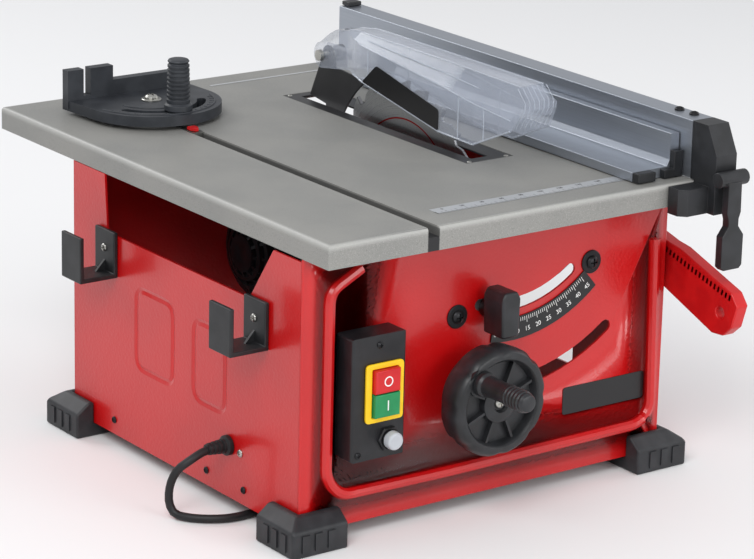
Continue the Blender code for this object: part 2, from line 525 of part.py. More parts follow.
def fence():
    """Aluminium rip fence, its clamping head and lever, and the low face rail."""
    x0, x1 = FENCE_X, FENCE_X + FENCE_WIDE
    low, high = 0.0008, FENCE_TALL
    rail = add("fence_rail", block((x0, FENCE_FRONT, low), (x1, FENCE_REAR, high)), "aluminium")
    cut(rail, block((x0 + 0.002, FENCE_FRONT - 0.01, low + 0.002),
                    (x1 - 0.002, FENCE_REAR + 0.01, high - 0.002)))
    near = FENCE_FRONT - GAP
    side = [(near, low), (-0.2534, low), (-0.2534, -0.024), (-0.2800, -0.024), (-0.2800, 0.026),
            (-0.2680, high),
            (near, high)]
    head = add("fence_head", prism("x", x0, x1, side), "black_plastic")
    bracket = [(0.1540, -0.2540), (0.1540, -0.2660), (0.1600, -0.2720), (x0 + 0.001, -0.2720),
               (x0 + 0.001, -0.2540)]
    join(head, prism("z", -0.0240, -0.0012, bracket))
    cap = block((x0 + 0.0040, FENCE_REAR - 0.0100, high + GAP),
                (x1 - 0.0040, FENCE_REAR + 0.0020, high + 0.0045))
    add("fence_rear_clamp", cap, "black_plastic")
    px, py, pz = (x0 + x1) / 2, -0.2870, 0.008
    lever = add("fence_lever", turned("x", (py, pz), [(px - 0.0150, 0.0065), (px + 0.0150, 0.0065)], 16),
                "black_plastic", (px, py, pz))
    arm = [(px - 0.0070, pz + 0.002), (px + 0.0070, pz + 0.002), (px + 0.0075, -0.020),
           (px + 0.0055, -0.026),
           (px + 0.0055, -0.032), (px + 0.0115, -0.040), (px + 0.0115, -0.066), (px + 0.0085, -0.069),
           (px - 0.0085, -0.069), (px - 0.0115, -0.066), (px - 0.0115, -0.040), (px - 0.0055, -0.032),
           (px - 0.0055, -0.026), (px - 0.0075, -0.020)]
    join(lever, prism("y", py - 0.0060, py + 0.0020, arm))
    f0, f1, flat = 0.1315, FENCE_X - 0.0010, 0.0090
    profile = [(f0, low), (f1, low), (f1, 0.0370), (f1 - 0.0090, 0.0370), (f1 - 0.0090, 0.0150),
               (f1 - 0.0120, flat),
               (f0, flat)]
    add("face_rail", prism("y", -0.2340, 0.1500, profile), "aluminium")
    foot = add("face_rail_clamp", block((f0 + 0.0300, -0.2400, low), (f1, -0.2343, 0.0080)),
               "black_plastic")
    join(foot, block((f1 - 0.0090, -0.2400, low), (f1, -0.2343, 0.0230)))


def mitre_gauge():
    """Cross-cut gauge: bar in the table channel, swinging head, clamp knob and pointer."""
    x, y = GAUGE_X, GAUGE_Y
    bar = add("mitre_bar", block((SLOT_LOW_X + 0.0005, 0.0870, -SLOT_DEEP + 0.0004),
                                 (SLOT_HIGH_X - 0.0005, 0.2440, 0.0006)), "steel")
    outline = arc((x, y), GAUGE_R, -180, 0, 24) + [(x + 0.060, 0.204), (x - 0.066, 0.204)]
    head = add("mitre_head", prism("z", 0.0010 + 0.0030, 0.0130, outline), "black_plastic", (x, y, 0))
    wall = block((x - 0.066, 0.1945, 0.006), (x - 0.020, 0.2038, 0.0400))
    low_wall = block((x - 0.0205, 0.1945, 0.006), (x + 0.0598, 0.2038, 0.0270))
    join(head, wall, low_wall)
    cut(head, block((x - 0.050, 0.190, 0.016), (x - 0.043, 0.210, 0.0500)))
    curve = band((x, y), 0.044, 0.0040, -90 - 62, -90 + 62, 20)
    cut(head, prism("z", 0.0, 0.02, curve))
    cut(head, turned("z", (x, y), [(0.0, 0.0043), (0.02, 0.0043)], 16))
    kx, ky = x, y - 0.044
    knob = [(0.0045, 0.0035), (0.0135, 0.0035), (0.0135, 0.0125), (0.0190, 0.0105), (0.0560, 0.0090),
            (0.0590, 0.0065)]
    smooth(add("mitre_clamp_knob", turned("z", (kx, ky), knob, 20), "black_plastic", (kx, ky, 0)))


def push_stick():
    """Red push stick hung on a holder on the right side."""
    x0, x1 = CAB_X + 0.0035, CAB_X + 0.0160
    outline = [(-0.306, -0.098), (-0.300, -0.118), (-0.290, -0.127), (-0.276, -0.128), (-0.215, -0.105),
               (-0.150, -0.078),
               (0.060, -0.074), (0.066, -0.060), (0.060, -0.046), (-0.150, -0.046), (-0.218,
             -0.064), (-0.232, -0.066),
               (-0.298, -0.088)]
    stick = add("push_stick", prism("x", x0, x1, outline), "red_plastic")
    cut(stick, turned("x", (-0.285, -0.108), [(x0 - 0.01, 0.0050), (x1 + 0.01, 0.0050)], 16))
    holder = add("push_stick_holder", block((CAB_X + GAP, -0.140, -0.0860),
                                            (CAB_X + 0.0032, -0.120, -0.0340)), "black_plastic")
    join(holder, block((CAB_X + 0.001, -0.140, -0.0860), (CAB_X + 0.0200, -0.120, -0.0785)))
    join(holder, block((CAB_X + 0.0165, -0.140, -0.0860), (CAB_X + 0.0200, -0.120, -0.0700)))


def smooth_route(points, spacing):
    """Points at even spacing on a Catmull-Rom curve through the route's own points."""
    knots = [Vector(p) for p in points]
    knots = [2 * knots[0] - knots[1]] + knots + [2 * knots[-1] - knots[-2]]
    fine = []
    for a, b, c, d in zip(knots, knots[1:], knots[2:], knots[3:]):
        for i in range(40):
            t = i / 40
            fine.append(0.5 * (2 * b + (c - a) * t + (2 * a - 5 * b + 4 * c - d) * t * t
                               + (3 * b - a - 3 * c + d) * t ** 3))
    fine.append(knots[-2])
    lengths = [0.0]
    for one, two in zip(fine, fine[1:]):
        lengths.append(lengths[-1] + (two - one).length)
    count = max(2, round(lengths[-1] / spacing))
    even, j = [], 0
    for i in range(count + 1):
        target = lengths[-1] * i / count
        while j < len(fine) - 2 and lengths[j + 1] < target:
            j += 1
        span = lengths[j + 1] - lengths[j]
        even.append(fine[j].lerp(fine[j + 1], (target - lengths[j]) / span if span > 0 else 0))
    return even


FLOOR = -STAND_HEIGHT
REST_Z = FLOOR + CORD_R + 0.0004
GLAND = (-CAB_X - GAP, -0.118, -0.2025)
COIL_X, COIL_Y, COIL_MEAN, COIL_WIDE, COIL_TALL = 0.020, 0.200, 0.0400, 0.0300, 0.0150
CORD_ROUTE = [
    (-0.2260, -0.118, -0.2095), (-0.2330, -0.113, -0.2170), (-0.2365, -0.108, -0.2300), (-0.2365, -0.106,
                                                                                         -0.2450),
    (-0.2340, -0.110, REST_Z + 0.0015), (-0.2290, -0.119, REST_Z), (-0.2180, -0.131, REST_Z),
    (-0.2000, -0.140, REST_Z), (-0.1750, -0.1400, REST_Z), (-0.1450, -0.128, REST_Z), (-0.1150, -0.095,
                                                                                       REST_Z),
    (-0.0950, -0.045, REST_Z), (-0.0800, 0.020, REST_Z), (-0.0650, 0.085, REST_Z), (-0.0450, 0.125, REST_Z),
    (-0.0370, 0.150, REST_Z), (-0.0330, 0.1700, REST_Z)]


def mains_lead():
    """Strain relief, the lead's open run, the coil it is wound into and its plug."""
    y, z = GLAND[1], GLAND[2]
    profile = [(GLAND[0], 0.0085), (GLAND[0] - 0.004, 0.0085), (GLAND[0] - 0.005, 0.0060),
               (GLAND[0] - 0.014, 0.0052)]
    gland = add("cord_gland", turned("x", (y, z), profile, 16), "rubber")
    smooth(gland)
    route = [Vector((GLAND[0] - 0.0148, y, z)), Vector((-0.2120, y,
                                                        z - 0.0015))] + [Vector(p) for p in CORD_ROUTE]
    points = smooth_route(route, 0.0110)
    curve = bpy.data.curves.new("mains_cord", "CURVE")
    curve.dimensions = "3D"
    curve.bevel_depth = CORD_R
    curve.bevel_resolution = 2
    curve.use_fill_caps = True
    curve.resolution_u = 1
    curve.render_resolution_u = 0
    curve.materials.append(finish("rubber"))
    spline = curve.splines.new("POLY")
    spline.points.add(len(points) - 1)
    for point, place in zip(spline.points, points):
        point.co = (*place, 1.0)
    cord = bpy.data.objects.new("mains_cord", curve)
    cord.parent = placement
    bpy.context.collection.objects.link(cord)
    inner, outer = COIL_MEAN - COIL_WIDE / 2, COIL_MEAN + COIL_WIDE / 2
    low = FLOOR + 0.0004
    form = turned("z", (COIL_X, COIL_Y), [(low, outer), (low + COIL_TALL, outer)], 36)
    coil = add("mains_coil", form, "rubber")
    cut(coil, turned("z", (COIL_X, COIL_Y), [(low - 0.01, inner), (low + COIL_TALL + 0.01, inner)], 36))
    smooth(coil)
    px, py = COIL_X + outer + 0.0150, COIL_Y + 0.0512
    profile = [(px - 0.0340, 0.0055), (px - 0.0140, 0.0075), (px - 0.0100, 0.0175), (px + 0.0060, 0.0190),
               (px + 0.0100, 0.0180)]
    plug = add("mains_plug", turned("x", (py, FLOOR + 0.0194), profile, 20), "rubber")
    for side in (-0.0095, 0.0095):
        pin = turned("x", (py + side, FLOOR + 0.0194), [(px + 0.0095, 0.0024), (px + 0.0290, 0.0024)], 10)
        join(plug, pin)
    smooth(plug)


def stand_on_origin():
    """Move the saw so that the box of all but the lead stands centred on the origin."""
    bpy.context.view_layer.update()
    low, high = Vector((9, 9, 9)), Vector((-9, -9, -9))
    for piece in bpy.data.objects:
        if piece.type != "MESH" or piece.hide_render or piece.name.startswith("mains"):
            continue
        for corner in piece.bound_box:
            place = piece.matrix_world @ Vector(corner)
            low = Vector(map(min, low, place))
            high = Vector(map(max, high, place))
    placement.location = (-(low.x + high.x) / 2, -(low.y + high.y) / 2, STAND_HEIGHT)


table()
cabinet()
feet()
side_hooks()
switch()
front_trim()
front_guide()
trunnions()
tilt_frame()
saw_unit()
shroud_and_knife()
guard()
fence()
mitre_gauge()
push_stick()
mains_lead()
stand_on_origin()
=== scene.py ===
import math
import bmesh
import bpy
from mathutils import Matrix, Vector


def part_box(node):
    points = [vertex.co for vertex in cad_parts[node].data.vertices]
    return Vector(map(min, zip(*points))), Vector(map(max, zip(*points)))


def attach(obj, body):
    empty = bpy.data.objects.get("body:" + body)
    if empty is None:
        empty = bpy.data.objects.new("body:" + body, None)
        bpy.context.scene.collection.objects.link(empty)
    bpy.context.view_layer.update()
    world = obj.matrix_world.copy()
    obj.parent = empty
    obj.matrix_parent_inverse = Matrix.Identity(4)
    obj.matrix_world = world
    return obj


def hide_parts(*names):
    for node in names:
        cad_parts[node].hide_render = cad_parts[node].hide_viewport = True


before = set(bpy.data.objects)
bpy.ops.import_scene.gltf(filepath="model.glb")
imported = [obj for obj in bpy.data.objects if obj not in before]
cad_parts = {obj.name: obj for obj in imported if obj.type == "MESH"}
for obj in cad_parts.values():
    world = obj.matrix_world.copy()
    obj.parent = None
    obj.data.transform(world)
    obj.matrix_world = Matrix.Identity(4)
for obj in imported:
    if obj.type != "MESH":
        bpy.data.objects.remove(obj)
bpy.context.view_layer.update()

# Benchtop table saw. The middle of the table's upper face is the zero of every size below:
# +X runs towards the rip fence, -Y towards the operator and +Z up. The feet stand at -0.260.
table_low, table_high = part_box("table_top")
MIDDLE = Vector(((table_low.x + table_high.x) / 2, (table_low.y + table_high.y) / 2, table_high.z))
FLOOR = -MIDDLE.z

# Camera: stands in front of the saw's left corner, a little above the table, long lens.
turn, dip, roll = math.radians(36.26), math.radians(17.205), math.radians(1.368)
forward = Vector((math.sin(turn) * math.cos(dip), math.cos(turn) * math.cos(dip), -math.sin(dip)))
level = Vector((math.cos(turn), -math.sin(turn), 0))
right = level * math.cos(roll) + level.cross(forward) * math.sin(roll)
camera = bpy.data.objects.new("camera", bpy.data.cameras.new("camera"))
bpy.context.scene.collection.objects.link(camera)
camera.matrix_world = Matrix.Translation(MIDDLE + Vector((-1.5467, -2.1704, 0.7027))) @ Matrix(
    (right, right.cross(forward), -forward)).transposed().to_4x4()
camera.data.sensor_width = 36.0
camera.data.lens = 153.57
bpy.context.scene.camera = camera


# Mains lead: a 7 mm black rubber-sheathed cable. It leaves a moulded strain relief low on the
# left panel, loops down to the bench, runs under the cabinet and lies coiled behind the saw
# with its moulded plug. Two rows of three turns hold the length that isn't in use.
class Field:
    """A socket of a finish. Arithmetic on it adds Math nodes."""

    def __init__(self, finish, socket):
        self.finish, self.socket = finish, socket

    def math(self, operation, *values):
        return self.finish.node("ShaderNodeMath", {"operation": operation}, values)

    def __add__(self, other):
        return self.math("ADD", self, other)

    def __radd__(self, other):
        return self.math("ADD", other, self)

    def __sub__(self, other):
        return self.math("SUBTRACT", self, other)

    def __rsub__(self, other):
        return self.math("SUBTRACT", other, self)

    def __mul__(self, other):
        return self.math("MULTIPLY", self, other)

    def __rmul__(self, other):
        return self.math("MULTIPLY", other, self)

    def __truediv__(self, other):
        return self.math("DIVIDE", self, other)

    def __rtruediv__(self, other):
        return self.math("DIVIDE", other, self)

    def __pow__(self, other):
        return self.math("POWER", self, other)

    def __mod__(self, other):
        return self.math("FLOORED_MODULO", self, other)

    def __abs__(self):
        return self.math("ABSOLUTE", self)

    def between(self, start, end):
        """0 at start, 1 at end, and smooth on the way."""
        return self.finish.node("ShaderNodeMapRange", {"interpolation_type": "SMOOTHSTEP"},
                                {"Value": self, "From Min": start, "From Max": end})

    def blend(self, one, two):
        """Colour one where this is 0, and two where it is 1."""
        return self.finish.node("ShaderNodeMix", {"data_type": "RGBA"}, {0: self, 6: one, 7: two}, 2)


class Finish:
    """A surface finish: one material and the nodes that make its detail."""

    def __init__(self, name, **constants):
        self.material = bpy.data.materials.new(name)
        self.material.use_nodes = True
        self.tree = self.material.node_tree
        self.shader = self.tree.nodes["Principled BSDF"]
        self.place = self.node("ShaderNodeTexCoord", out="Object")
        self.set(**constants)

    def node(self, kind, settings=None, values=(), out=0):
        added = self.tree.nodes.new(kind)
        for key, value in (settings or {}).items():
            setattr(added, key, value)
        for key, value in values.items() if isinstance(values, dict) else enumerate(values):
            self.feed(added.inputs[key], value)
        return Field(self, added.outputs[out])

    def feed(self, socket, value):
        if isinstance(value, Field):
            self.tree.links.new(value.socket, socket)
        else:
            socket.default_value = value

    def set(self, **values):
        for name, value in values.items():
            self.feed(self.shader.inputs[name.replace("_", " ")], value)

    def stretched(self, factors):
        return self.node("ShaderNodeVectorMath", {"operation": "MULTIPLY"}, [self.place, factors])

    def noise(self, scale, detail=2.0, roughness=0.5, stretch=(1, 1, 1)):
        return self.node("ShaderNodeTexNoise", {}, {"Vector": self.stretched(stretch), "Scale": scale,
                                                    "Detail": detail, "Roughness": roughness})

    def cells(self, scale, feature="F1", stretch=(1, 1, 1)):
        return self.node("ShaderNodeTexVoronoi", {"feature": feature},
                         {"Vector": self.stretched(stretch), "Scale": scale})

    def along(self, axis):
        return self.node("ShaderNodeSeparateXYZ", {}, [self.place], "xyz".index(axis))

    def relief(self, height, depth, strength=1.0):
        """Set the surface's bump from a height field; depth in metres."""
        self.set(Normal=self.node("ShaderNodeBump", {}, {"Height": height, "Distance": depth,
                                                         "Strength": strength}))
        return self


def paint(red, green, blue):
    """A colour from its 0 to 255 screen values."""
    values = [c / 255 for c in (red, green, blue)]
    return tuple(c / 12.92 if c <= 0.04045 else ((c + 0.055) / 1.055) ** 2.4 for c in values) + (1.0,)


def moulded(name, dark, light, roughness, grain=900.0, depth=0.00008):
    """Injection-moulded plastic: fine spark-eroded grain and slight cloudiness."""
    plastic = Finish(name, Specular_IOR_Level=0.45)
    cloud = plastic.noise(60.0, 3.0)
    plastic.set(Base_Color=cloud.between(0.35, 0.7).blend(dark, light))
    plastic.set(Roughness=roughness + (plastic.noise(25.0) - 0.5) * 0.12)
    return plastic.relief(plastic.noise(grain, 3.0, 0.6), depth, 0.5)


sheath = moulded("sheath_rubber", paint(18, 18, 20), paint(26, 26, 28), 0.52, 700.0, 0.00005)
LEAD_R = 0.0035
LIE = FLOOR + LEAD_R + 0.0004
relief_x, relief_y, relief_z = -0.1868, -0.118, -0.2025
ROUTE = [
    (relief_x - 0.0148, relief_y, relief_z), (-0.2120, relief_y, relief_z - 0.0015),
    (-0.2260, -0.118, -0.2095), (-0.2330, -0.113, -0.2170), (-0.2365, -0.108, -0.2300), (-0.2365, -0.106,
        -0.2450),
    (-0.2340, -0.110, LIE + 0.0015), (-0.2290, -0.119, LIE), (-0.2180, -0.131, LIE),
    (-0.2000, -0.140, LIE), (-0.1750, -0.1400, LIE), (-0.1450, -0.128, LIE), (-0.1150, -0.095, LIE),
    (-0.0950, -0.045, LIE), (-0.0800, 0.020, LIE), (-0.0650, 0.085, LIE), (-0.0450, 0.125, LIE),
    (-0.0370, 0.150, LIE), (-0.0330, 0.1700, LIE)]
COIL = Vector((0.020, 0.200))
WOUND, PITCH = 0.0512, 0.0073


def wound_lead():
    """Points of the coil: three turns inwards on the bench, a quarter turn up, three outwards."""
    points = []
    for i in range(1, 6 * 24 + 7):
        turns = i / 24
        inwards = min(turns, 3.0)
        outwards = max(0.0, turns - 3.25)
        rise = min(1.0, max(0.0, (turns - 3.0) / 0.25))
        radius = WOUND - PITCH * (inwards - outwards)
        angle = math.pi - 2 * math.pi * turns
        points.append((COIL.x + radius * math.cos(angle), COIL.y + radius * math.sin(angle),
                       LIE + PITCH * (3 - 2 * rise) * rise * rise))
    return points


def evenly(points, spacing):
    """Points at even spacing on a smooth curve through the given ones."""
    knots = [Vector(p) for p in points]
    knots = [2 * knots[0] - knots[1]] + knots + [2 * knots[-1] - knots[-2]]
    fine = []
    for a, b, c, d in zip(knots, knots[1:], knots[2:], knots[3:]):
        for i in range(12):
            t = i / 12
            fine.append(0.5 * (2 * b + (c - a) * t + (2 * a - 5 * b + 4 * c - d) * t * t
                               + (3 * b - a - 3 * c + d) * t ** 3))
    fine.append(knots[-2])
    gone = [0.0]
    for one, two in zip(fine, fine[1:]):
        gone.append(gone[-1] + (two - one).length)
    count, even, j = round(gone[-1] / spacing), [], 0
    for i in range(count + 1):
        target = gone[-1] * i / count
        while j < len(fine) - 2 and gone[j + 1] < target:
            j += 1
        even.append(fine[j].lerp(fine[j + 1], (target - gone[j]) / max(1e-9, gone[j + 1] - gone[j])))
    return even, gone[-1]


plug_x, plug_y, plug_z = 0.0900, COIL.y + WOUND, FLOOR + 0.0194
to_plug = [(0.0300, plug_y, LIE + PITCH + 0.0008), (0.0440, plug_y, plug_z - 0.0020),
           (plug_x - 0.0300, plug_y, plug_z)]
line, lead_length = evenly(ROUTE + [(-0.0314, 0.1860, LIE)] + wound_lead() + to_plug, 0.0055)


def cable(name, line, radius, finish, body):
    """A round cable along a line of points."""
    curve = bpy.data.curves.new(name, "CURVE")
    curve.dimensions = "3D"
    curve.bevel_depth = radius
    curve.bevel_resolution = 4
    curve.use_fill_caps = True
    curve.materials.append(finish.material)
    spline = curve.splines.new("POLY")
    spline.points.add(len(line) - 1)
    for point, spot in zip(spline.points, line):
        point.co = (*spot, 1.0)
    piece = bpy.data.objects.new(name, curve)
    piece.location = MIDDLE
    bpy.context.scene.collection.objects.link(piece)
    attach(piece, body)
    return piece


lead = cable("mains_lead", line, LEAD_R, sheath, "root")
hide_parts("mains_cord", "mains_coil")
AXES = {"x": lambda a, u, v: (a, u, v), "y": lambda a, u, v: (u, a, v), "z": lambda a, u, v: (u, v, a)}


def ring(centre, radius, steps, start=0.0):
    turns = [start + 2 * math.pi * i / steps for i in range(steps)]
    return [(centre[0] + radius * math.cos(t), centre[1] + radius * math.sin(t)) for t in turns]


def turned(axis, centre, profile, steps=48):
    """A turned form from (place along the axis, radius) pairs, closed at both ends."""
    form = bmesh.new()
    rows = []
    for along, radius in profile:
        if radius < 1e-6:
            rows.append([form.verts.new(AXES[axis](along, *centre))])
        else:
            rows.append([form.verts.new(AXES[axis](along, u, v)) for u, v in ring(centre, radius, steps)])
    for one, two in zip(rows, rows[1:]):
        for i in range(steps):
            j = (i + 1) % steps
            corners = [one[i % len(one)], one[j % len(one)], two[j % len(two)], two[i % len(two)]]
            form.faces.new(list(dict.fromkeys(corners)))
    for row in (rows[0], rows[-1]):
        if len(row) > 1:
            form.faces.new(row)
    return form


def piece(name, form, finish, body, slot, edge=0.0, segments=3, angle=30.0, replaces=(), place=None):
    """Make a piece from a form, round its edges, and fix it to its body."""
    bmesh.ops.recalc_face_normals(form, faces=form.faces)
    mesh = bpy.data.meshes.new(name)
    form.to_mesh(mesh)
    form.free()
    mesh.materials.append(finish.material)
    made = bpy.data.objects.new(name, mesh)
    made.location = MIDDLE if place is None else place
    bpy.context.scene.collection.objects.link(made)
    if edge:
        rounding = made.modifiers.new("rounding", "BEVEL")
        rounding.width = edge
        rounding.segments = segments
        rounding.angle_limit = math.radians(angle)
        rounding.harden_normals = True
    mesh.shade_smooth()
    mesh.set_sharp_from_angle(angle=math.radians(angle))
    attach(made, body)
    if replaces:
        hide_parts(*replaces)
    return made


def block(low, high):
    form = bmesh.new()
    low, high = Vector(low), Vector(high)
    matrix = Matrix.Translation((low + high) / 2) @ Matrix.Diagonal((*(high - low), 1))
    bmesh.ops.create_cube(form, size=1, matrix=matrix)
    return form


def merged(*forms):
    """Several forms as one."""
    whole = bmesh.new()
    for form in forms:
        carrier = bpy.data.meshes.new("carrier")
        form.to_mesh(carrier)
        form.free()
        whole.from_mesh(carrier)
        bpy.data.meshes.remove(carrier)
    return whole


ribs = [(relief_x - 0.0002, 0.0085), (relief_x - 0.0040, 0.0085)]
for i in range(5):
    start = relief_x - 0.0050 - 0.0042 * i
    ribs += [(start, 0.0064 - 0.0004 * i), (start - 0.0024, 0.0062 - 0.0004 * i),
             (start - 0.0024, 0.0049 - 0.00025 * i), (start - 0.0042, 0.0048 - 0.00025 * i)]
ribs = [(x, max(r, 0.0038)) for x, r in ribs if x > relief_x - 0.0240]
piece("strain_relief", turned("x", (relief_y, relief_z), ribs, 32), sheath, "root", "rubber", 0.0003,
      replaces=["cord_gland"])
steel_pin = Finish("nickel_pin", Metallic=1.0, Base_Color=paint(190, 188, 180), Roughness=0.22)
steel_pin.relief(steel_pin.noise(300.0), 0.00003, 0.3)
handle = [(plug_x - 0.0340, 0.0046), (plug_x - 0.0330, 0.0055), (plug_x - 0.0290, 0.0060),
          (plug_x - 0.0285, 0.0050),
          (plug_x - 0.0260, 0.0052), (plug_x - 0.0255, 0.0064), (plug_x - 0.0220, 0.0067), (plug_x - 0.0215,
              0.0056),
          (plug_x - 0.0190, 0.0058), (plug_x - 0.0180, 0.0075), (plug_x - 0.0150, 0.0110), (plug_x - 0.0105,
              0.0172),
          (plug_x - 0.0020, 0.0183), (plug_x + 0.0060, 0.0186), (plug_x + 0.0095, 0.0180), (plug_x + 0.0100,
              0.0150)]
plug = piece("plug_body", turned("x", (plug_y, plug_z), handle, 40), sheath, "root", "rubber", 0.0006,
             replaces=["mains_plug"])
pins = []
for side in (-0.0095, 0.0095):
    pins.append(turned("x", (plug_y + side, plug_z), [(plug_x + 0.0090, 0.0023), (plug_x + 0.0270, 0.0023),
                                                      (plug_x + 0.0287, 0.0012)], 20))
plug_pins = piece("plug_pins", merged(*pins), steel_pin, "root", "steel")


# Bench and light: a plain flat pale sheet, a broad soft light above the front left, a weaker one from the
# right, one from behind, and an even pale surround.
pale = Finish("pale_sheet", Base_Color=(0.86, 0.86, 0.86, 1.0), Roughness=0.75, Specular_IOR_Level=0.2)
sheet = bmesh.new()
bmesh.ops.create_grid(sheet, x_segments=1, y_segments=1, size=6.0)
sheet_mesh = bpy.data.meshes.new("bench")
sheet.to_mesh(sheet_mesh)
sheet.free()
sheet_mesh.materials.append(pale.material)
bench = bpy.data.objects.new("bench", sheet_mesh)
bpy.context.scene.collection.objects.link(bench)


def softbox(name, spot, aim, size, power):
    lamp = bpy.data.objects.new(name, bpy.data.lights.new(name, "AREA"))
    lamp.data.shape = "RECTANGLE"
    lamp.data.size, lamp.data.size_y = size
    lamp.data.energy = power
    lamp.location = spot
    lamp.rotation_mode = "QUATERNION"
    lamp.rotation_quaternion = (Vector(spot) - Vector(aim)).to_track_quat("Z", "Y")
    bpy.context.scene.collection.objects.link(lamp)


softbox("key_light", (-1.5, -1.3, 1.9), (0, 0, 0.15), (1.3, 1.3), 34.0)
softbox("front_light", (0.5, -2.4, 0.9), (0.0, 0.0, 0.15), (1.6, 1.0), 19.0)
softbox("right_light", (2.2, -0.4, 1.0), (0, 0, 0.15), (1.2, 1.2), 10.0)
softbox("rear_light", (-0.6, 2.2, 1.7), (0, 0, 0.25), (1.6, 0.9), 20.0)
surround = bpy.data.worlds.new("surround")
surround.use_nodes = True
surround.node_tree.nodes["Background"].inputs["Color"].default_value = (0.96, 0.97, 1.0, 1.0)
surround.node_tree.nodes["Background"].inputs["Strength"].default_value = 0.62
bpy.context.scene.world = surround
bpy.context.scene.view_settings.view_transform = "Standard"


# Table: one folded steel sheet, rim and all, in grey speckled textured paint with a painted highlight
# along the bends. A channel for the mitre gauge is welded under its open slot; painted shade darkens it.
table_paint = Finish("table_paint", Specular_IOR_Level=0.4)
specks = table_paint.noise(1500.0, 2.0, 0.7).between(0.52, 0.72)
cloud = table_paint.noise(14.0, 3.0).between(0.3, 0.7)
grey = cloud.blend(paint(128, 128, 125), paint(138, 137, 133))
grey = specks.blend(grey, paint(166, 165, 160))
dark_specks = table_paint.noise(1100.0, 2.0, 0.7).between(0.60, 0.74)
grey = dark_specks.blend(grey, paint(88, 88, 86))
# Painted highlight: the paint turns lighter and glossier along the folded edges of the rim.
edge_x = abs(table_paint.along("x")).between(0.1815, 0.1850)
edge_y = abs(table_paint.along("y")).between(0.2480, 0.2515)
bend_highlight = edge_x.math("MAXIMUM", edge_x, edge_y) * table_paint.along("z").between(-0.006, -0.001)
# Painted shade: inside the mitre channel, below the table face, the paint is near black.
channel_shade = 1 - abs(table_paint.along("x") + 0.0857).between(0.0050, 0.0062)
channel_shade = channel_shade * (1 - table_paint.along("z").between(-0.0024, -0.0008))
grey = (bend_highlight * 0.45).blend(grey, paint(196, 196, 192))
table_paint.set(Base_Color=channel_shade.blend(grey, paint(30, 30, 32)))
table_paint.set(Roughness=0.50 + specks * 0.12 - bend_highlight * 0.12)
table_paint.relief(table_paint.noise(1300.0, 3.0, 0.65), 0.00022, 0.55)


def worked(node, rules=(), angle=25.0):
    """The form of a CAD node, its flat faces whole again and chosen edges rounded.

    Each rule is (test of an edge's middle, width, segments)."""
    form = bmesh.new()
    form.from_mesh(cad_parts[node].data)
    bmesh.ops.translate(form, verts=form.verts, vec=-MIDDLE)
    bmesh.ops.remove_doubles(form, verts=form.verts, dist=1e-6)
    bmesh.ops.dissolve_limit(form, angle_limit=math.radians(1.0), verts=form.verts, edges=form.edges)
    for test, width, segments in rules:
        chosen = [e for e in form.edges if len(e.link_faces) == 2
                  and e.calc_face_angle(0) > math.radians(angle)
                  and test((e.verts[0].co + e.verts[1].co) / 2)]
        bmesh.ops.bevel(form, geom=chosen, offset=width, segments=segments, profile=0.5, affect="EDGES",
                        clamp_overlap=True)
    return form


def weighted(made):
    """Let the large flat faces keep their own shading next to small rounded ones."""
    made.modifiers.new("shading", "WEIGHTED_NORMAL").keep_sharp = True
    return made


def anywhere(p):
    """Every edge."""
    return True


def remade(node, name, finish, body, slot, rules=(), angle=40):
    """A CAD node made again, in its own place, as a finished piece with rounded edges."""
    return weighted(piece(name, worked(node, rules), finish, body, slot, angle=angle, replaces=[node]))


half_x, half_y = (table_high.x - table_low.x) / 2, (table_high.y - table_low.y) / 2


def on_rim(p):
    return abs(p.z) < 1e-4 and (abs(abs(p.x) - half_x) < 1e-4 or abs(abs(p.y) - half_y) < 1e-4)


def on_corner(p):
    return abs(abs(p.x) - half_x) < 1e-3 and abs(abs(p.y) - half_y) < 1e-3


def on_slot(p):
    return abs(p.z) < 1e-4 and -0.100 < p.x < -0.070 and abs(p.y) < half_y - 0.003


table_form = worked("table_top", [(on_rim, 0.0026, 4), (on_corner, 0.0014, 3), (on_slot, 0.0007, 2)])
weighted(piece("table_sheet", table_form, table_paint, "root", "table_paint", angle=40,
               replaces=["table_top"]))

# Measuring tape stuck into the table's front edge, and a short line at its rear edge: pale metal
# foil with a printed scale in millimetres and numbers every 20 mm.
tape_foil = Finish("tape_foil", Metallic=0.55, Specular_IOR_Level=0.5)
at = tape_foil.along("x") * 1000.0
across = tape_foil.along("y")
tick = 1.0 - abs((at + 0.5) % 1.0 - 0.5).between(0.12, 0.20)
fifth = 1.0 - abs((at + 2.5) % 5.0 - 2.5).between(0.14, 0.22)
tenth = 1.0 - abs((at + 5.0) % 10.0 - 5.0).between(0.18, 0.28)
marks = tick * (1.0 - across.between(-0.2222, -0.2220))
marks = marks.math("MAXIMUM", marks, fifth * (1.0 - across.between(-0.2204, -0.2202)))
marks = marks.math("MAXIMUM", marks, tenth * (1.0 - across.between(-0.2186, -0.2184)))
tape_foil.set(Base_Color=(marks * 0.9).blend(paint(196, 198, 200), paint(24, 24, 26)), Roughness=0.34)
tape_foil.relief(tape_foil.noise(500.0, 2.0, 0.5, (0.05, 1, 1)), 0.00002, 0.4)
piece("front_tape", block((-0.0600, -0.2240, 0.0001), (0.1320, -0.2110, 0.00035)), tape_foil, "root",
      "aluminium")
piece("rear_tape", block((0.0150, 0.2215, 0.0001), (0.1450, 0.2245, 0.00035)), tape_foil, "root",
      "aluminium")
print_black = Finish("print_black", Base_Color=paint(20, 20, 22), Roughness=0.5)
print_white = Finish("print_white", Roughness=0.45)
print_white.set(Base_Color=print_white.noise(900.0).blend(paint(225, 225, 222), paint(240, 240, 238)))


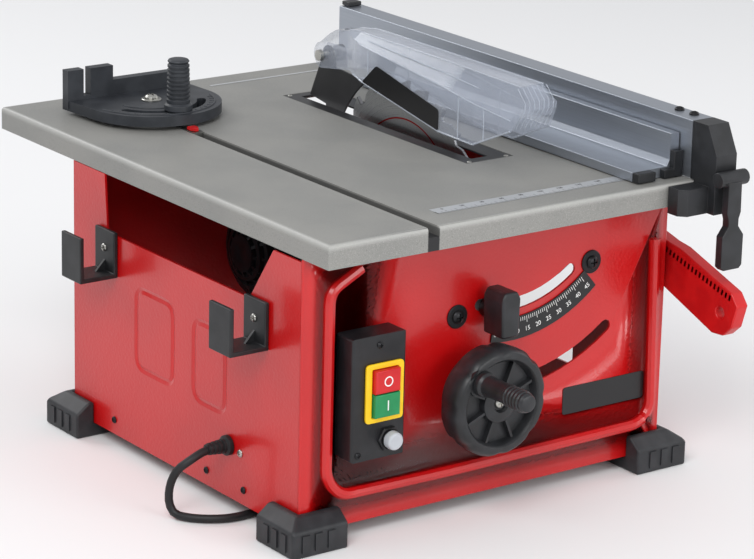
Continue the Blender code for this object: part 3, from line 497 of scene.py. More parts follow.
def number(name, words, size, middle, across, up, finish, body, slot):
    """A printed number: flat letters a tenth of a millimetre thick."""
    text = bpy.data.curves.new(name, "FONT")
    text.body, text.size, text.extrude = words, size, 0.00004
    text.align_x, text.align_y = "CENTER", "CENTER"
    carrier = bpy.data.objects.new(name, text)
    bpy.context.scene.collection.objects.link(carrier)
    bpy.context.view_layer.update()
    mesh = bpy.data.meshes.new_from_object(carrier.evaluated_get(bpy.context.evaluated_depsgraph_get()))
    bpy.data.objects.remove(carrier)
    form = bmesh.new()
    form.from_mesh(mesh)
    across, up = Vector(across).normalized(), Vector(up).normalized()
    turn = Matrix((across, up, across.cross(up))).transposed().to_4x4()
    bmesh.ops.transform(form, matrix=Matrix.Translation(middle) @ turn, verts=form.verts)
    return piece(name, form, finish, body, slot)


for i in range(9):
    number(f"tape_number_{i}", str(20 * i), 0.0042, (-0.0500 + 0.02 * i, -0.2150, 0.00040), (1, 0, 0),
           (0, 1, 0),
           print_black, "root", "black_plastic")

# Table insert: a black pressed plate let into the table, with the blade's slot and four
# countersunk screws at its corners.
insert_black = moulded("insert_black", paint(24, 24, 26), paint(33, 33, 35), 0.42, 1300.0, 0.0001)
remade("table_insert", "insert_plate", insert_black, "root", "black_plastic",
       [(lambda p: p.z > -0.0005, 0.0006, 2)])
bolt_black = Finish("bolt_black", Metallic=0.85, Base_Color=paint(48, 48, 50))
bolt_black.set(Roughness=0.34 + bolt_black.noise(400.0) * 0.15)
bolt_bright = Finish("bolt_bright", Metallic=1.0, Base_Color=paint(185, 184, 178))
bolt_bright.set(Roughness=0.22 + bolt_bright.noise(350.0) * 0.15)


def made_of(base, cutters=(), joins=()):
    """A form with others cut out of it or joined on."""
    carriers = []
    for form in (base, *cutters, *joins):
        bmesh.ops.recalc_face_normals(form, faces=form.faces)
        mesh = bpy.data.meshes.new("carrier")
        form.to_mesh(mesh)
        form.free()
        carriers.append(bpy.data.objects.new("carrier", mesh))
        bpy.context.scene.collection.objects.link(carriers[-1])
    for i, tool in enumerate(carriers[1:]):
        modifier = carriers[0].modifiers.new("cut", "BOOLEAN")
        modifier.object = tool
        modifier.operation = "DIFFERENCE" if i < len(cutters) else "UNION"
    bpy.context.view_layer.update()
    done = bmesh.new()
    done.from_object(carriers[0], bpy.context.evaluated_depsgraph_get())
    for carrier in carriers:
        bpy.data.objects.remove(carrier)
    bmesh.ops.remove_doubles(done, verts=done.verts, dist=1e-6)
    return done


def screw(name, axis, centre, seat, out, radius, finish, body, slot="steel", washer=0.0):
    """A pan-head screw with a cross recess. seat is where its head sits, out the way it faces."""
    tall = radius * 0.62
    profile = [(seat, radius), (seat + out * tall * 0.35, radius), (seat + out * tall * 0.75, radius * 0.82),
               (seat + out * tall, radius * 0.45), (seat + out * tall * 1.04, 0)]
    cutters = []
    for wide, high in ((0.62, 0.12), (0.12, 0.62)):
        spots = [AXES[axis](seat + out * tall * k, centre[0] + s * radius * wide,
                            centre[1] + s * radius * high)
                 for k, s in ((0.45, -1), (1.5, 1))]
        cutters.append(block([min(c) for c in zip(*spots)], [max(c) for c in zip(*spots)]))
    form = made_of(turned(axis, centre, profile, 24), cutters)
    if washer:
        disc = [(seat, washer), (seat + out * 0.0009, washer), (seat + out * 0.0014, washer - 0.0006),
                (seat + out * 0.0014, radius * 0.5)]
        bmesh.ops.translate(form, verts=form.verts, vec=AXES[axis](out * 0.0012, 0, 0))
        form = merged(form, turned(axis, centre, disc, 32))
    return piece(name, form, finish, body, slot, angle=35)


for i, (x, y) in enumerate(((0.0575, -0.1105), (0.0965, -0.1105), (0.0575, 0.1560), (0.0965, 0.1560))):
    screw(f"insert_screw_{i}", "z", (x, y), -0.0006, 1, 0.0021, bolt_bright, "root")


# Cabinet: pressed 2 mm sheet, folded at the corners and powder-coated in glossy red with a
# leather grain. Grooves are pressed into the front and left panels to stiffen them.
red_coat = Finish("red_coat", Coat_Weight=0.35, Coat_Roughness=0.12, Specular_IOR_Level=0.5)
grain = red_coat.cells(380.0, "SMOOTH_F1") * 0.7 + red_coat.noise(460.0, 3.0, 0.6) * 0.6
shade = red_coat.noise(9.0, 2.0).between(0.3, 0.7)
red_coat.set(Base_Color=shade.blend(paint(182, 6, 9), paint(194, 9, 12)))
red_coat.set(Roughness=0.26 + red_coat.noise(180.0) * 0.10)
red_coat.relief(grain, 0.00042, 0.5)


def groove(points, radius, closed=False):
    """A round bar along a line of points: the tool that presses a groove."""
    curve = bpy.data.curves.new("bar", "CURVE")
    curve.dimensions = "3D"
    curve.bevel_depth = radius
    curve.bevel_resolution = 3
    curve.use_fill_caps = True
    spline = curve.splines.new("POLY")
    spline.use_cyclic_u = closed
    spline.points.add(len(points) - 1)
    for point, spot in zip(spline.points, points):
        point.co = (*spot, 1.0)
    carrier = bpy.data.objects.new("bar", curve)
    bpy.context.scene.collection.objects.link(carrier)
    bpy.context.view_layer.update()
    mesh = bpy.data.meshes.new_from_object(carrier.evaluated_get(bpy.context.evaluated_depsgraph_get()))
    bpy.data.objects.remove(carrier)
    form = bmesh.new()
    form.from_mesh(mesh)
    return form


def rounded(corners, radius, closed=False):
    """A line of 2-D corners with each turn rounded."""
    line, count = [], len(corners)
    for i, corner in enumerate(corners):
        here = Vector(corner)
        if not closed and i in (0, count - 1):
            line.append(here)
            continue
        before = (Vector(corners[i - 1]) - here).normalized()
        after = (Vector(corners[(i + 1) % count]) - here).normalized()
        start, end = here + before * radius, here + after * radius
        line += [start.lerp(here, t).lerp(here.lerp(end, t), t) for t in (0, 0.2, 0.4, 0.6, 0.8, 1)]
    return line


def on_fold(p):
    return abs(p.y + 0.219) < 1e-4 and (abs(abs(p.x) - 0.1865) < 1e-4)


front_line = rounded([(-0.1340, -0.0330), (-0.1635, -0.0480), (-0.1640, -0.2040), (-0.1500, -0.2200),
                      (-0.0450, -0.2210),
                      (0.1600, -0.2190), (0.1730, -0.2080), (0.1690, -0.0560)], 0.010)
bar = groove([(x, -0.2190 - 0.0038, z) for x, z in front_line], 0.0050)
front_form = made_of(worked("front_panel", [(on_fold, 0.0016, 4)]), [bar])
weighted(piece("front_sheet", front_form, red_coat, "root", "red_coat", angle=32, replaces=["front_panel"]))
left_bars = []
for y0, y1, y2, z0, z1 in ((-0.0320, 0.0250, 0.0250, -0.1070, -0.1770),
                           (-0.1110, -0.0640, -0.0640, -0.1100, -0.1780)):
    loop = rounded([(y0, z0), (y1, z0), (y2, z1), (y0, z1)], 0.012, True)
    left_bars.append(groove([(-0.1865 - 0.0038, y, z) for y, z in loop], 0.0050, True))
left_form = made_of(worked("left_panel"), left_bars)
weighted(piece("left_sheet", left_form, red_coat, "root", "red_coat", angle=32, replaces=["left_panel"]))
remade("right_panel", "right_sheet", red_coat, "root", "red_coat", angle=50)


def on_rear_fold(p):
    return abs(p.y - 0.128) < 1e-4 and abs(abs(p.x) - 0.1865) < 1e-4


remade("rear_panel", "rear_sheet", red_coat, "root", "red_coat", [(on_rear_fold, 0.0016, 4)], 50)
for i, y in enumerate((-0.140, -0.085, 0.060)):
    screw(f"side_rivet_{i}", "x", (y, -0.2350), -0.1867, -1, 0.0030, bolt_black, "root")
screw("lead_clamp_screw", "x", (-0.1350, -0.2048), -0.1867, -1, 0.0032, bolt_bright, "root")
for i, (x, z) in enumerate(((-0.0348, -0.0910), (0.1036, -0.0667))):
    screw(f"trunnion_screw_{i}", "y", (x, z), -0.2192, -1, 0.0055, bolt_black, "root", washer=0.0100)

# Badge: a blank black plate with rounded corners, stuck low on the right of the front panel.


def prism(axis, start, end, outline):
    """An outline in the two other coordinates, drawn out along an axis."""
    form = bmesh.new()
    face = form.faces.new([form.verts.new(AXES[axis](start, u, v)) for u, v in outline])
    grown = bmesh.ops.extrude_face_region(form, geom=[face])
    moved = [g for g in grown["geom"] if isinstance(g, bmesh.types.BMVert)]
    bmesh.ops.translate(form, verts=moved, vec=AXES[axis](end - start, 0, 0))
    return form


satin_black = Finish("satin_black", Roughness=0.3, Specular_IOR_Level=0.5)
satin_black.set(Base_Color=satin_black.noise(40.0).blend(paint(14, 14, 16), paint(20, 20, 22)))
plate = rounded([(0.0790, -0.1970), (0.1670, -0.1970), (0.1670, -0.1730), (0.0790, -0.1730)], 0.003, True)
piece("badge_plate", prism("y", -0.2192, -0.2199, plate), satin_black, "root", "black_plastic", 0.0002, 2)


# Feet: four moulded black corner shoes. Each wraps a corner of the cabinet and has upright ribs
# on its two outer faces.
def dressed(finish, *names):
    """Give CAD nodes a finish."""
    for name in names:
        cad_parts[name].data.materials.clear()
        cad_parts[name].data.materials.append(finish.material)


foot_black = moulded("foot_black", paint(34, 35, 38), paint(46, 47, 50), 0.50, 800.0, 0.00014)
for name in ("foot_front_left", "foot_front_right", "foot_rear_left", "foot_rear_right"):
    low, top = (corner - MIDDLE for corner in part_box(name))
    sx, sy = (-1 if low.x < 0 else 1), (-1 if low.y < 0 else 1)
    out_x, out_y = (low.x if sx < 0 else top.x), (low.y if sy < 0 else top.y)
    shapes = [worked(name, [(anywhere, 0.0022, 3)])]
    for k in range(3):
        y = out_y - sy * (0.0125 + 0.0125 * k)
        x = out_x - sx * (0.0125 + 0.0125 * k)
        shapes.append(block((min(out_x + sx * 0.0012, out_x - sx * 0.001), y - 0.0036, low.z + 0.0045),
                            (max(out_x + sx * 0.0012, out_x - sx * 0.001), y + 0.0036, low.z + 0.0190)))
        shapes.append(block((x - 0.0036, min(out_y + sy * 0.0012, out_y - sy * 0.001), low.z + 0.0045),
                            (x + 0.0036, max(out_y + sy * 0.0012, out_y - sy * 0.001), low.z + 0.0190)))
    weighted(piece(name + "_shoe", merged(*shapes), foot_black, "root", "black_plastic", angle=40,
                   replaces=[name]))

# Side hooks: two moulded black U-shaped holders for tools, screwed to the left panel's edge.
hook_black = moulded("hook_black", paint(24, 25, 27), paint(35, 36, 38), 0.47, 900.0, 0.0001)
for name, y in (("side_hook_rear", 0.0695), ("side_hook_front", -0.1585)):
    hook = worked(name, [(anywhere, 0.0010, 3)])
    gusset = prism("y", y - 0.0012, y + 0.0012, [(-0.1905, -0.1022), (-0.2000, -0.1022), (-0.1905, -0.0920)])
    weighted(piece(name + "_moulding", merged(hook, gusset), hook_black, "root", "black_plastic", angle=40,
                   replaces=[name]))
    screw(name + "_screw", "x", (y, -0.0820), -0.1909, -1, 0.0034, bolt_bright, "root")

# Switch: a deep moulded black box with a yellow surround, a red and a green push button with
# their plain marks, and the greyed cap of the overload reset in its collar.
switch_black = moulded("switch_black", paint(20, 20, 23), paint(30, 30, 33), 0.40, 1000.0, 0.0001)


def on_switch_rim(p):
    return p.y < -0.2300 and abs(p.x + 0.1275) > 0.02


remade("switch_box", "switch_housing", switch_black, "root", "black_plastic", [(on_switch_rim, 0.0024, 4)])
yellow = moulded("switch_yellow", paint(238, 190, 14), paint(246, 202, 24), 0.38, 1000.0, 0.00006)
surround_out = rounded([(-0.1415, -0.1560), (-0.1050, -0.1560), (-0.1050, -0.1070), (-0.1415, -0.1070)],
                       0.004, True)
surround_form = made_of(prism("y", -0.2418, -0.2443, surround_out),
                        [block((-0.1357, -0.26, -0.1516), (-0.1103, -0.23, -0.1114))])
weighted(piece("switch_surround", surround_form, yellow, "root", "yellow_plastic", 0.0006, 2, 40))
button_red = moulded("button_red", paint(190, 22, 26), paint(204, 30, 32), 0.36, 900.0, 0.00005)
button_green = moulded("button_green", paint(20, 128, 74), paint(28, 142, 84), 0.36, 900.0, 0.00005)
for name, body, finish, slot, z, mark in (("stop_button", "stop", button_red, "red_plastic", -0.1215,
                                           "ring"),
                                          ("start_button", "start", button_green, "green_plastic", -0.1415,
                                           "bar")):
    remade(name, name + "_cap", finish, body, slot, [(lambda p: p.y < -0.2470, 0.0012, 3)])
    if mark == "ring":
        sign = made_of(turned("y", (-0.1230, z), [(-0.2484, 0.0042), (-0.2487, 0.0042)], 32),
                       [turned("y", (-0.1230, z), [(-0.2470, 0.0032), (-0.2500, 0.0032)], 32)])
    else:
        sign = block((-0.1235, -0.2487, z - 0.0042), (-0.1225, -0.2484, z + 0.0042))
    piece(name + "_mark", sign, print_white, body, "black_plastic")
grey_clear = Finish("reset_grey", Roughness=0.18, Specular_IOR_Level=0.6, Coat_Weight=0.4)
grey_clear.set(Base_Color=grey_clear.noise(80.0).blend(paint(168, 172, 178), paint(190, 193, 198)))
RESET = (-0.1180, -0.1715)
reset_cap = [(-0.2350, 0.0046), (-0.2467, 0.0046), (-0.2470, 0.0076), (-0.2500, 0.0078), (-0.2530, 0.0072),
             (-0.2540, 0.0060),
             (-0.2540, 0)]
piece("reset_cap", turned("y", RESET, reset_cap, 40), grey_clear, "reset", "grey_plastic",
      0.0003, replaces=["reset_button"])
collar_form = [(-0.2418, 0.0106), (-0.2440, 0.0106), (-0.2452, 0.0098), (-0.2452, 0.0060)]
collar = made_of(turned("y", RESET, collar_form, 6),
                 [turned("y", RESET, [(-0.2300, 0.0051), (-0.2600, 0.0051)], 32),
                  turned("y", RESET, [(-0.2437, 0.0082), (-0.2600, 0.0082)], 32)])
weighted(piece("reset_collar", collar, switch_black, "root", "black_plastic", 0.0003, 2))
for i, (x, z) in enumerate(((-0.1275, -0.0925), (-0.1470, -0.1815), (-0.1075, -0.1815))):
    screw(f"switch_screw_{i}", "y", (x, z), -0.2419, -1, 0.0028, bolt_black, "root")

# Tilt scale: a curved black plate on the front panel, printed in white with a line for each
# degree, a longer one every five, and the numbers 0 to 45.
HUB = (0.020, 0.015)
piece("scale_plate", worked("tilt_scale_plate"), satin_black, "root", "black_plastic", 0.0002, 2,
      replaces=["tilt_scale_plate"])


def about_hub(radius, degrees):
    """A spot at an angle from straight down round the tilt guide's centre."""
    t = math.radians(degrees)
    return Vector((HUB[0] + radius * math.sin(t), 0, HUB[1] - radius * math.cos(t)))


lines = []
for degree in range(46):
    a = math.radians(degree - 7)
    outward, sideways = Vector((math.sin(a), 0, -math.cos(a))), Vector((math.cos(a), 0, math.sin(a)))
    inner, outer = about_hub(0.1180, degree - 7), about_hub(0.1236 if degree % 5 == 0 else 0.1212,
                                                            degree - 7)
    half = 0.00022
    lines.append(prism("y", -0.2203, -0.22045, [((inner + sideways * half).x, (inner + sideways * half).z),
                                                ((outer + sideways * half).x, (outer + sideways * half).z),
                                                ((outer - sideways * half).x, (outer - sideways * half).z),
                                                ((inner - sideways * half).x, (inner - sideways * half).z)]))
    if degree % 5 == 0:
        number(f"tilt_number_{degree}", str(degree), 0.0056,
               about_hub(0.1292, degree - 7) + Vector((0, -0.2204, 0)),
               sideways, -outward, print_white, "root", "black_plastic")
piece("scale_lines", merged(*lines), print_white, "root", "black_plastic")

# Front guide: a plate behind the panel that swings with the saw unit. It carries the handwheel
# with its crank, both moulded in black, and the winged clamp knob in the upper slot.
zinc = Finish("zinc_sheet", Metallic=0.9, Specular_IOR_Level=0.5)
zinc.set(Base_Color=zinc.cells(90.0).between(0.1, 0.7).blend(paint(150, 152, 156), paint(176, 178, 180)))
zinc.set(Roughness=0.34 + zinc.noise(60.0) * 0.2)
zinc.relief(zinc.noise(200.0), 0.00005, 0.4)
steel = Finish("turned_steel", Metallic=1.0, Base_Color=paint(172, 172, 168))
steel.set(Roughness=0.22 + steel.noise(500.0, 2.0, 0.6) * 0.2)
steel.relief(steel.noise(900.0), 0.00002, 0.4)
dressed(zinc, "guide_plate", "front_trunnion", "rear_trunnion", "tilt_frame", "knife_clamp")
dressed(steel, "handwheel_shaft", "front_trunnion_pin", "rear_trunnion_pin", "lift_screw", "motor_armature",
        "arbor",
        "inner_flange", "outer_flange", "arbor_nut")
wheel_black = moulded("wheel_black", paint(28, 29, 31), paint(40, 41, 44), 0.40, 950.0, 0.0001)
wheel_x, wheel_z = about_hub(0.174, -14).xz
near, far = -0.2320, -0.2670
rim = [(near, 0.0140), (near - 0.002, 0.0370), (near - 0.012, 0.0452), (far + 0.012, 0.0460),
       (far + 0.0060, 0.0458),
       (far + 0.0018, 0.0438), (far, 0.0415), (far, 0.0372), (far + 0.0020, 0.0352), (far + 0.0085, 0.0340),
       (far + 0.0085, 0.0175), (far + 0.0030, 0.0165), (far + 0.0015, 0.0135), (far + 0.0015, 0.0080),
       (far + 0.0050, 0.0065), (far + 0.0050, 0)]
wheel = turned("y", (wheel_x, wheel_z), rim, 96)
for vertex in wheel.verts:
    offset = Vector((vertex.co.x - wheel_x, vertex.co.z - wheel_z))
    if offset.length > 0.0410:
        turned_by = math.atan2(offset.y, offset.x)
        offset *= 1 - 0.035 * max(0.0, math.cos(8 * turned_by)) ** 3
        vertex.co.x, vertex.co.z = wheel_x + offset.x, wheel_z + offset.y
crank_x, crank_z = wheel_x - 0.0215, wheel_z + 0.0215
parts = [wheel, turned("y", (crank_x, crank_z), [(far + 0.009, 0.0125), (far + 0.0002, 0.0125)], 32)]
for i in range(8):
    rib = block((0.0170, far + 0.0035, -0.0011), (0.0345, far + 0.0088, 0.0011))
    bmesh.ops.rotate(rib, verts=rib.verts, matrix=Matrix.Rotation(math.radians(22.5 + 45 * i), 3, "Y"))
    bmesh.ops.translate(rib, verts=rib.verts, vec=(wheel_x, 0, wheel_z))
    parts.append(rib)
weighted(piece("wheel_moulding", merged(*parts), wheel_black, "handwheel", "black_plastic", angle=42,
               replaces=["handwheel"]))
screw("wheel_screw", "y", (wheel_x, wheel_z), far + 0.0048, -1, 0.0048, bolt_bright, "handwheel")
grip = [(far + 0.0090, 0.0060), (far - 0.0006, 0.0060), (far - 0.0006, 0.0098), (far - 0.0020, 0.0105),
        (far - 0.0060, 0.0103),
        (far - 0.0085, 0.0086), (far - 0.0340, 0.0080)]
for i in range(5):
    grip += [(far - 0.0350 - 0.004 * i, 0.0090), (far - 0.0372 - 0.004 * i, 0.0090),
             (far - 0.0382 - 0.004 * i, 0.0080)]
grip += [(far - 0.0560, 0.0082), (far - 0.0590, 0.0068), (far - 0.0600, 0.0040), (far - 0.0600, 0)]
piece("crank_grip", turned("y", (crank_x, crank_z), grip, 48), wheel_black, "crank", "black_plastic", 0.0003,
      2,
      replaces=["crank_handle"])
knob_x, knob_z = about_hub(0.105, -14).xz
remade("tilt_knob", "tilt_grip", wheel_black, "tilt_knob", "black_plastic",
       [(lambda p: p.y < -0.2290, 0.0022, 4)], 45)
pointer = prism("y", -0.2206, -0.2212, [(knob_x + 0.0060, knob_z - 0.0080),
                                        (knob_x + 0.0110, knob_z - 0.0090),
                                        (knob_x + 0.0135, knob_z - 0.0160), (knob_x + 0.0060,
                                            knob_z - 0.0120)])
piece("tilt_pointer", pointer, steel, "front_guide", "steel")

# Saw unit: die-cast gear case and a universal motor in a black housing with a slotted end cap,
# riding on a brass nut. All of it hangs in the tilting frame.
cast = Finish("cast_aluminium", Metallic=0.85, Base_Color=paint(150, 152, 155))
cast.set(Roughness=0.45 + cast.noise(300.0) * 0.2)
cast.relief(cast.noise(450.0, 3.0, 0.7), 0.0002, 0.5)
brass = Finish("machined_brass", Metallic=1.0, Base_Color=paint(196, 160, 84))
brass.set(Roughness=0.26 + brass.noise(300.0) * 0.15)
motor_black = moulded("motor_black", paint(26, 27, 29), paint(38, 39, 42), 0.45, 700.0, 0.00014)
dressed(cast, "gear_case")
dressed(brass, "lift_nut")
dressed(motor_black, "motor_housing", "blade_shroud")
cap = [(-0.0703, 0.0418), (-0.0780, 0.0412), (-0.0802, 0.0398), (-0.0808, 0.0362), (-0.0788, 0.0356),
       (-0.0788, 0.0330),
       (-0.0856, 0.0322), (-0.0862, 0.0290), (-0.0842, 0.0284), (-0.0842, 0.0250), (-0.0886,
           0.0244), (-0.0892, 0.0210),
       (-0.0872, 0.0204), (-0.0872, 0.0168), (-0.0914, 0.0162), (-0.0920, 0.0100), (-0.0905,
           0.0060), (-0.0905, 0)]
motor_y, motor_z = 0.010, -0.088
cap_parts = [turned("x", (motor_y, motor_z), cap, 64)]
for i in range(12):
    rib = prism("y", -0.0013, 0.0013, [(-0.0710, 0.0395), (-0.0803, 0.0395), (-0.0912, 0.0150),
                                       (-0.0860, 0.0150)])
    bmesh.ops.rotate(rib, verts=rib.verts, matrix=Matrix.Rotation(math.radians(30 * i), 3, "X"))
    bmesh.ops.translate(rib, verts=rib.verts, vec=(0, motor_y, motor_z))
    cap_parts.append(rib)
weighted(piece("motor_cap", merged(*cap_parts), motor_black, "saw_unit", "black_plastic", angle=42,
               replaces=["motor_end_cap"]))

# Blade: a 210 mm hardened steel disc, ground in circles, with brazed carbide teeth. Behind it
# stands the black riving knife.
blade_steel = Finish("blade_steel", Metallic=1.0)
BLADE, ARBOR_HEIGHT, TEETH = 0.0740, -0.060, 24
off_y, off_z = blade_steel.along("y"), blade_steel.along("z") - ARBOR_HEIGHT
reach = (off_y * off_y + off_z * off_z) ** 0.5
rings = blade_steel.node("ShaderNodeTexNoise", {"noise_dimensions": "1D"},
                         {"W": reach * 2600.0, "Scale": 1.0, "Detail": 3.0})
line_red = 1.0 - abs(reach - 0.0700).between(0.0006, 0.0008)
metal = rings.blend(paint(150, 152, 155), paint(186, 187, 188))
blade_steel.set(Base_Color=line_red.blend(metal, paint(170, 20, 24)), Roughness=0.20 + rings * 0.18)
blade_steel.relief(rings, 0.00003, 0.4)
disc = worked("saw_blade")
tips = []
for i in range(TEETH):
    tip = block((BLADE - 0.0015, 0.0968, -0.0004), (BLADE + 0.0015, 0.1048, 0.0016))
    bmesh.ops.rotate(tip, verts=tip.verts, matrix=Matrix.Rotation(math.radians(360 / TEETH * i), 3, "X"))
    bmesh.ops.translate(tip, verts=tip.verts, vec=(0, 0, ARBOR_HEIGHT))
    tips.append(tip)
piece("blade_disc", disc, blade_steel, "arbor", "steel", 0.00015, 1, replaces=["saw_blade"])
carbide = Finish("carbide", Metallic=1.0, Base_Color=paint(140, 140, 142))
carbide.set(Roughness=0.3 + carbide.noise(800.0) * 0.15)
piece("blade_tips", merged(*tips), carbide, "arbor", "steel", 0.0002, 1)
remade("riving_knife", "knife_plate", insert_black, "saw_unit", "black_plastic", [(anywhere, 0.0003, 2)])

# Guard: a clear moulded hood, open below, with a narrow roof, sloping shoulders and a ribbed
# nose. It is bolted to the riving knife's eye. A blank black strip is stuck on its left side.
clear = Finish("clear_hood", Specular_IOR_Level=0.6, Coat_Weight=0.5, Coat_Roughness=0.05)
# Painted reflection: the hood turns lighter and more opaque where it is seen edge-on.
painted_edge_reflection = clear.node("ShaderNodeLayerWeight", {}, {"Blend": 0.35}, "Facing")
haze = clear.noise(45.0, 3.0).between(0.4, 0.75)
clear.set(Base_Color=painted_edge_reflection.blend(paint(172, 180, 196), paint(204, 210, 221)))
clear.set(Alpha=0.15 + painted_edge_reflection * 0.38 + haze * 0.06, Roughness=0.05 + haze * 0.07)
clear.relief(clear.noise(30.0, 2.0), 0.0006, 0.35)
frosted = Finish("frosted_ridge", Specular_IOR_Level=0.7, Coat_Weight=0.5)
frosted.set(Base_Color=paint(198, 205, 216), Alpha=0.34 + frosted.noise(200.0) * 0.15, Roughness=0.16)


def hood_form(inset, stations):
    """A shell's outside or inside: sections along Y of half width, foot, shoulder and roof."""
    form = bmesh.new()
    rows = []
    for y, wide, foot, shoulder, roof_wide, roof in stations:
        w, r = wide - inset, roof_wide - inset / 2
        section = [(-w, foot), (-w, shoulder), (-r, roof - inset), (r, roof - inset), (w, shoulder),
                   (w, foot)]
        rows.append([form.verts.new((BLADE + x, y, z)) for x, z in section])
    for one, two in zip(rows, rows[1:]):
        for i in range(6):
            j = (i + 1) % 6
            form.faces.new([one[i], one[j], two[j], two[i]])
    form.faces.new(rows[0])
    form.faces.new(rows[-1])
    return form


OUTSIDE = [(-0.1800, 0.0185, 0.0580, 0.0635, 0.0120, 0.0680),
           (-0.1690, 0.0215, 0.0390, 0.0490, 0.0120, 0.0765),
           (-0.1210, 0.0220, 0.0172, 0.0530, 0.0110, 0.0770), (-0.0730, 0.0220, 0.0180, 0.0590, 0.0100,
               0.0775),
           (0.0390, 0.0220, 0.0376, 0.0700, 0.0100, 0.0777), (0.0600, 0.0160, 0.0390, 0.0720, 0.0090,
               0.0777),
           (0.0800, 0.0082, 0.0400, 0.0715, 0.0060, 0.0750)]
INSIDE = [(-0.1775, 0.0190, 0.0590, 0.0625, 0.0120, 0.0680),
          (-0.1665, 0.0215, -0.0100, 0.0480, 0.0120, 0.0765),
          (-0.1200, 0.0220, -0.0100, 0.0520, 0.0110, 0.0770), (-0.0730, 0.0220, -0.0100, 0.0580, 0.0100,
              0.0775),
          (0.0380, 0.0220, -0.0100, 0.0685, 0.0100, 0.0777), (0.0580, 0.0160, -0.0100, 0.0700, 0.0090,
              0.0770),
          (0.0740, 0.0082, -0.0100, 0.0690, 0.0060, 0.0740)]
ear_turn = [math.radians(-80 + 20 * i) for i in range(9)]
ears = [(0.0700, 0.0400), (0.1180, 0.0325)] + [(0.120 + 0.012 * math.cos(t),
                                                0.044 + 0.012 * math.sin(t)) for t in ear_turn]
ears += [(0.1080, 0.0660), (0.0980, 0.0713), (0.0700, 0.0750)]
hood = made_of(hood_form(0.0, OUTSIDE),
               [hood_form(0.0022, INSIDE)], [prism("x", BLADE - 0.0080, BLADE + 0.0080, ears)])
hood = made_of(hood, [prism("x", BLADE - 0.0045, BLADE + 0.0045,
                            [(0.0600, 0.0100), (0.1500, 0.0100), (0.1500, 0.0530),
                                                                (0.0600, 0.0530)]),
                      turned("x", (0.120, 0.044), [(BLADE - 0.02, 0.0034), (BLADE + 0.02, 0.0034)], 24)])
piece("clear_guard", hood, clear, "guard", "clear_plastic", 0.0007, 2, 28, replaces=["guard_hood"])
ridges = []
for side in (-1, 1):
    foot_line = [(BLADE + side * s[1], s[0], s[2] + 0.0008) for s in OUTSIDE[1:6]]
    shoulder_line = [(BLADE + side * s[1], s[0], s[3]) for s in OUTSIDE[1:6]]
    roof_line = [(BLADE + side * s[4], s[0], s[5] - 0.0002) for s in OUTSIDE[1:7]]
    middle_line = [(BLADE + side * (s[1] + s[4]) / 2, s[0],
                    (s[3] + s[5]) / 2 + 0.0004) for s in OUTSIDE[2:5]]
    ridges += [groove(line, r) for line, r in ((foot_line, 0.0009), (shoulder_line, 0.0007),
                                               (roof_line, 0.0007),
                                               (middle_line, 0.0006))]
    for y, z0, z1 in ((-0.1350, 0.0240, 0.0500), (-0.1000, 0.0185, 0.0540), (0.0300, 0.0370, 0.0670)):
        ridges.append(groove([(BLADE + side * 0.0220, y, z0), (BLADE + side * 0.0220, y, z1)], 0.0006))
for i in range(7):
    x = BLADE - 0.0150 + 0.0050 * i
    ridges.append(groove([(x, -0.1692, 0.0410), (x, -0.1802, 0.0585), (x, -0.1802, 0.0650),
                          (x, -0.1700, 0.0755)], 0.00035))
piece("guard_ridges", merged(*ridges), frosted, "guard", "clear_plastic")
strip = rounded([(0.0380, 0.0385), (0.0172, 0.0570), (-0.0733, 0.0375), (-0.0733, 0.0190)], 0.003, True)
piece("guard_strip", prism("x", BLADE - 0.0222, BLADE - 0.0226, strip), satin_black, "guard",
      "black_plastic")
dressed(bolt_bright, "guard_bolt")
dressed(bolt_black, "guard_nut")

# Rip fence: a hollow satin-anodised extrusion with a low face rail, clamped to the table by a
# moulded head and its lever at the front and a small stop at the rear.
anodised = Finish("anodised_aluminium", Metallic=0.88, Specular_IOR_Level=0.5)
drawn = anodised.noise(900.0, 3.0, 0.6, (1, 0.012, 1))
anodised.set(Base_Color=drawn.blend(paint(150, 156, 165), paint(172, 177, 185)),
             Roughness=0.30 + drawn * 0.16)
anodised.relief(drawn, 0.00004, 0.4)
for name, body in (("fence_rail", "fence"), ("face_rail", "face_rail")):
    remade(name, name + "_extrusion", anodised, body, "aluminium",
           [(lambda p: -0.230 < p.y < 0.22, 0.0007, 3)])
fence_black = moulded("fence_black", paint(28, 29, 31), paint(38, 39, 42), 0.45, 850.0, 0.00012)
for name, body, width in (("fence_head", "fence", 0.0020), ("fence_rear_clamp", "fence", 0.0010),
                          ("fence_lever", "fence_lever", 0.0014), ("face_rail_clamp", "face_rail", 0.0006)):
    remade(name, name + "_moulding", fence_black, body, "black_plastic", [(anywhere, width, 3)], 45)
for i, y in enumerate((-0.2155, -0.2340)):
    screw(f"fence_screw_{i}", "z", (0.1960, y), 0.0501, 1, 0.0042, bolt_black, "fence")
face_cap = prism("y", -0.2420, -0.2343, [(0.1315, 0.0008), (0.1505, 0.0008), (0.1505, 0.0090),
                                         (0.1315, 0.0090)])
piece("face_rail_cap", face_cap, fence_black, "face_rail", "black_plastic", 0.0010, 3)

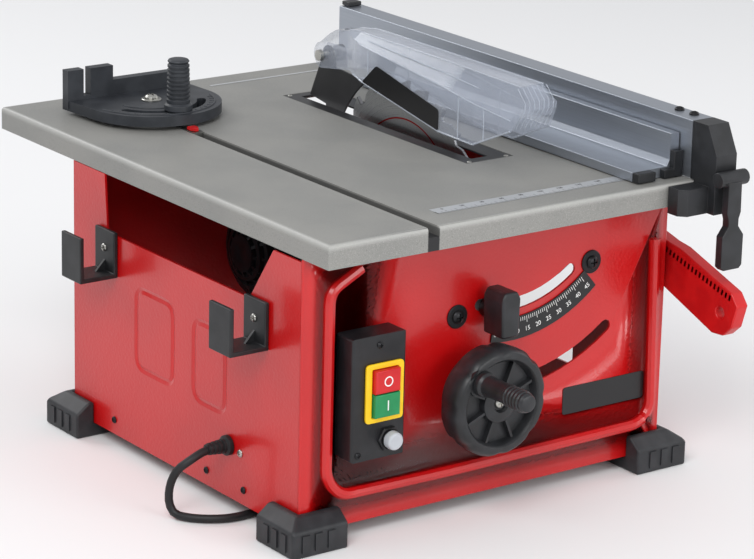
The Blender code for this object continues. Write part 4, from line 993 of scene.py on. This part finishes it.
# Mitre gauge: a steel bar in the table's channel and a moulded half-round head that swings on
# it, held by a tall ribbed clamp knob. A red pointer shows the angle.
gauge_black = moulded("gauge_black", paint(38, 41, 46), paint(50, 53, 58), 0.48, 750.0, 0.00014)
dressed(steel, "mitre_bar")
gauge_x, gauge_y = -0.0857, 0.163
head_parts = [worked("mitre_head", [(anywhere, 0.0010, 3)])]
for radius in (0.0560, 0.0330):
    arc = [(gauge_x + radius * math.cos(t), gauge_y + radius * math.sin(t), 0.0130)
           for t in (math.radians(-170 + 8 * i) for i in range(21))]
    head_parts.append(groove(arc, 0.0009))
for i in range(19):
    t = math.radians(-162 + 8 * i)
    head_parts.append(groove([(gauge_x + r * math.cos(t), gauge_y + r * math.sin(t),
                               0.0129) for r in (0.0510, 0.0560)],
                             0.0005))
weighted(piece("gauge_head", merged(*head_parts), gauge_black, "mitre_head", "black_plastic", angle=45,
               replaces=["mitre_head"]))
column = [(0.0045, 0.0035), (0.0133, 0.0035), (0.0133, 0.0118), (0.0142, 0.0125), (0.0185, 0.0122),
          (0.0200, 0.0100)]
for i in range(9):
    z = 0.0215 + 0.0038 * i
    column += [(z, 0.0104 - 0.0001 * i), (z + 0.0020, 0.0104 - 0.0001 * i),
               (z + 0.0026, 0.0092 - 0.0001 * i),
               (z + 0.0036, 0.0092 - 0.0001 * i)]
column += [(0.0570, 0.0096), (0.0585, 0.0086), (0.0590, 0.0070), (0.0590, 0)]
piece("gauge_knob", turned("z", (gauge_x, gauge_y - 0.044), column, 48), gauge_black, "mitre_knob",
      "black_plastic",
      0.0003, 2, replaces=["mitre_clamp_knob"])
red_plastic = moulded("red_plastic", paint(186, 14, 18), paint(200, 20, 22), 0.38, 800.0, 0.0001)
arrow = [(gauge_x - 0.0040, 0.0990), (gauge_x - 0.0040, 0.0930), (gauge_x - 0.0012, 0.0880),
         (gauge_x + 0.0012, 0.0880),
         (gauge_x + 0.0040, 0.0930), (gauge_x + 0.0040, 0.0990)]
piece("gauge_pointer", prism("z", 0.0008, 0.0036, arrow), red_plastic, "mitre_bar", "red_plastic", 0.0005, 2)
screw("gauge_pivot", "z", (gauge_x, gauge_y), 0.0131, 1, 0.0060, bolt_bright, "mitre_head", washer=0.0090)

# Push stick: a red moulding kept on a hook at the right side, with a hanging hole near its tip
# and a knurled edge along its grip. The dust port at the rear is a black moulded spigot.
stick_parts = [worked("push_stick", [(anywhere, 0.0016, 3)])]
for i in range(30):
    t = i / 29
    y, z = -0.2960 + 0.1380 * t, -0.0905 + 0.0360 * t
    rib = block((0.1885 + 0.0015, -0.0011, -0.0020), (0.2029, 0.0011, 0.0030))
    bmesh.ops.rotate(rib, verts=rib.verts, matrix=Matrix.Rotation(math.radians(14.6), 3, "X"))
    bmesh.ops.translate(rib, verts=rib.verts, vec=(0, y, z - 0.0022))
    stick_parts.append(rib)
weighted(piece("push_stick_moulding", merged(*stick_parts), red_plastic, "push_stick", "red_plastic",
               angle=45,
               replaces=["push_stick"]))
dressed(hook_black, "push_stick_holder")
piece("dust_spigot", worked("dust_port"), hook_black, "root", "black_plastic", 0.0004, 2,
      replaces=["dust_port"])
for i in range(3):
    t = math.radians(90 + 120 * i)
    screw(f"port_screw_{i}", "y", (0.060 + 0.0225 * math.cos(t), -0.165 + 0.0225 * math.sin(t)), 0.1310, 1,
          0.0022,
          bolt_black, "root")
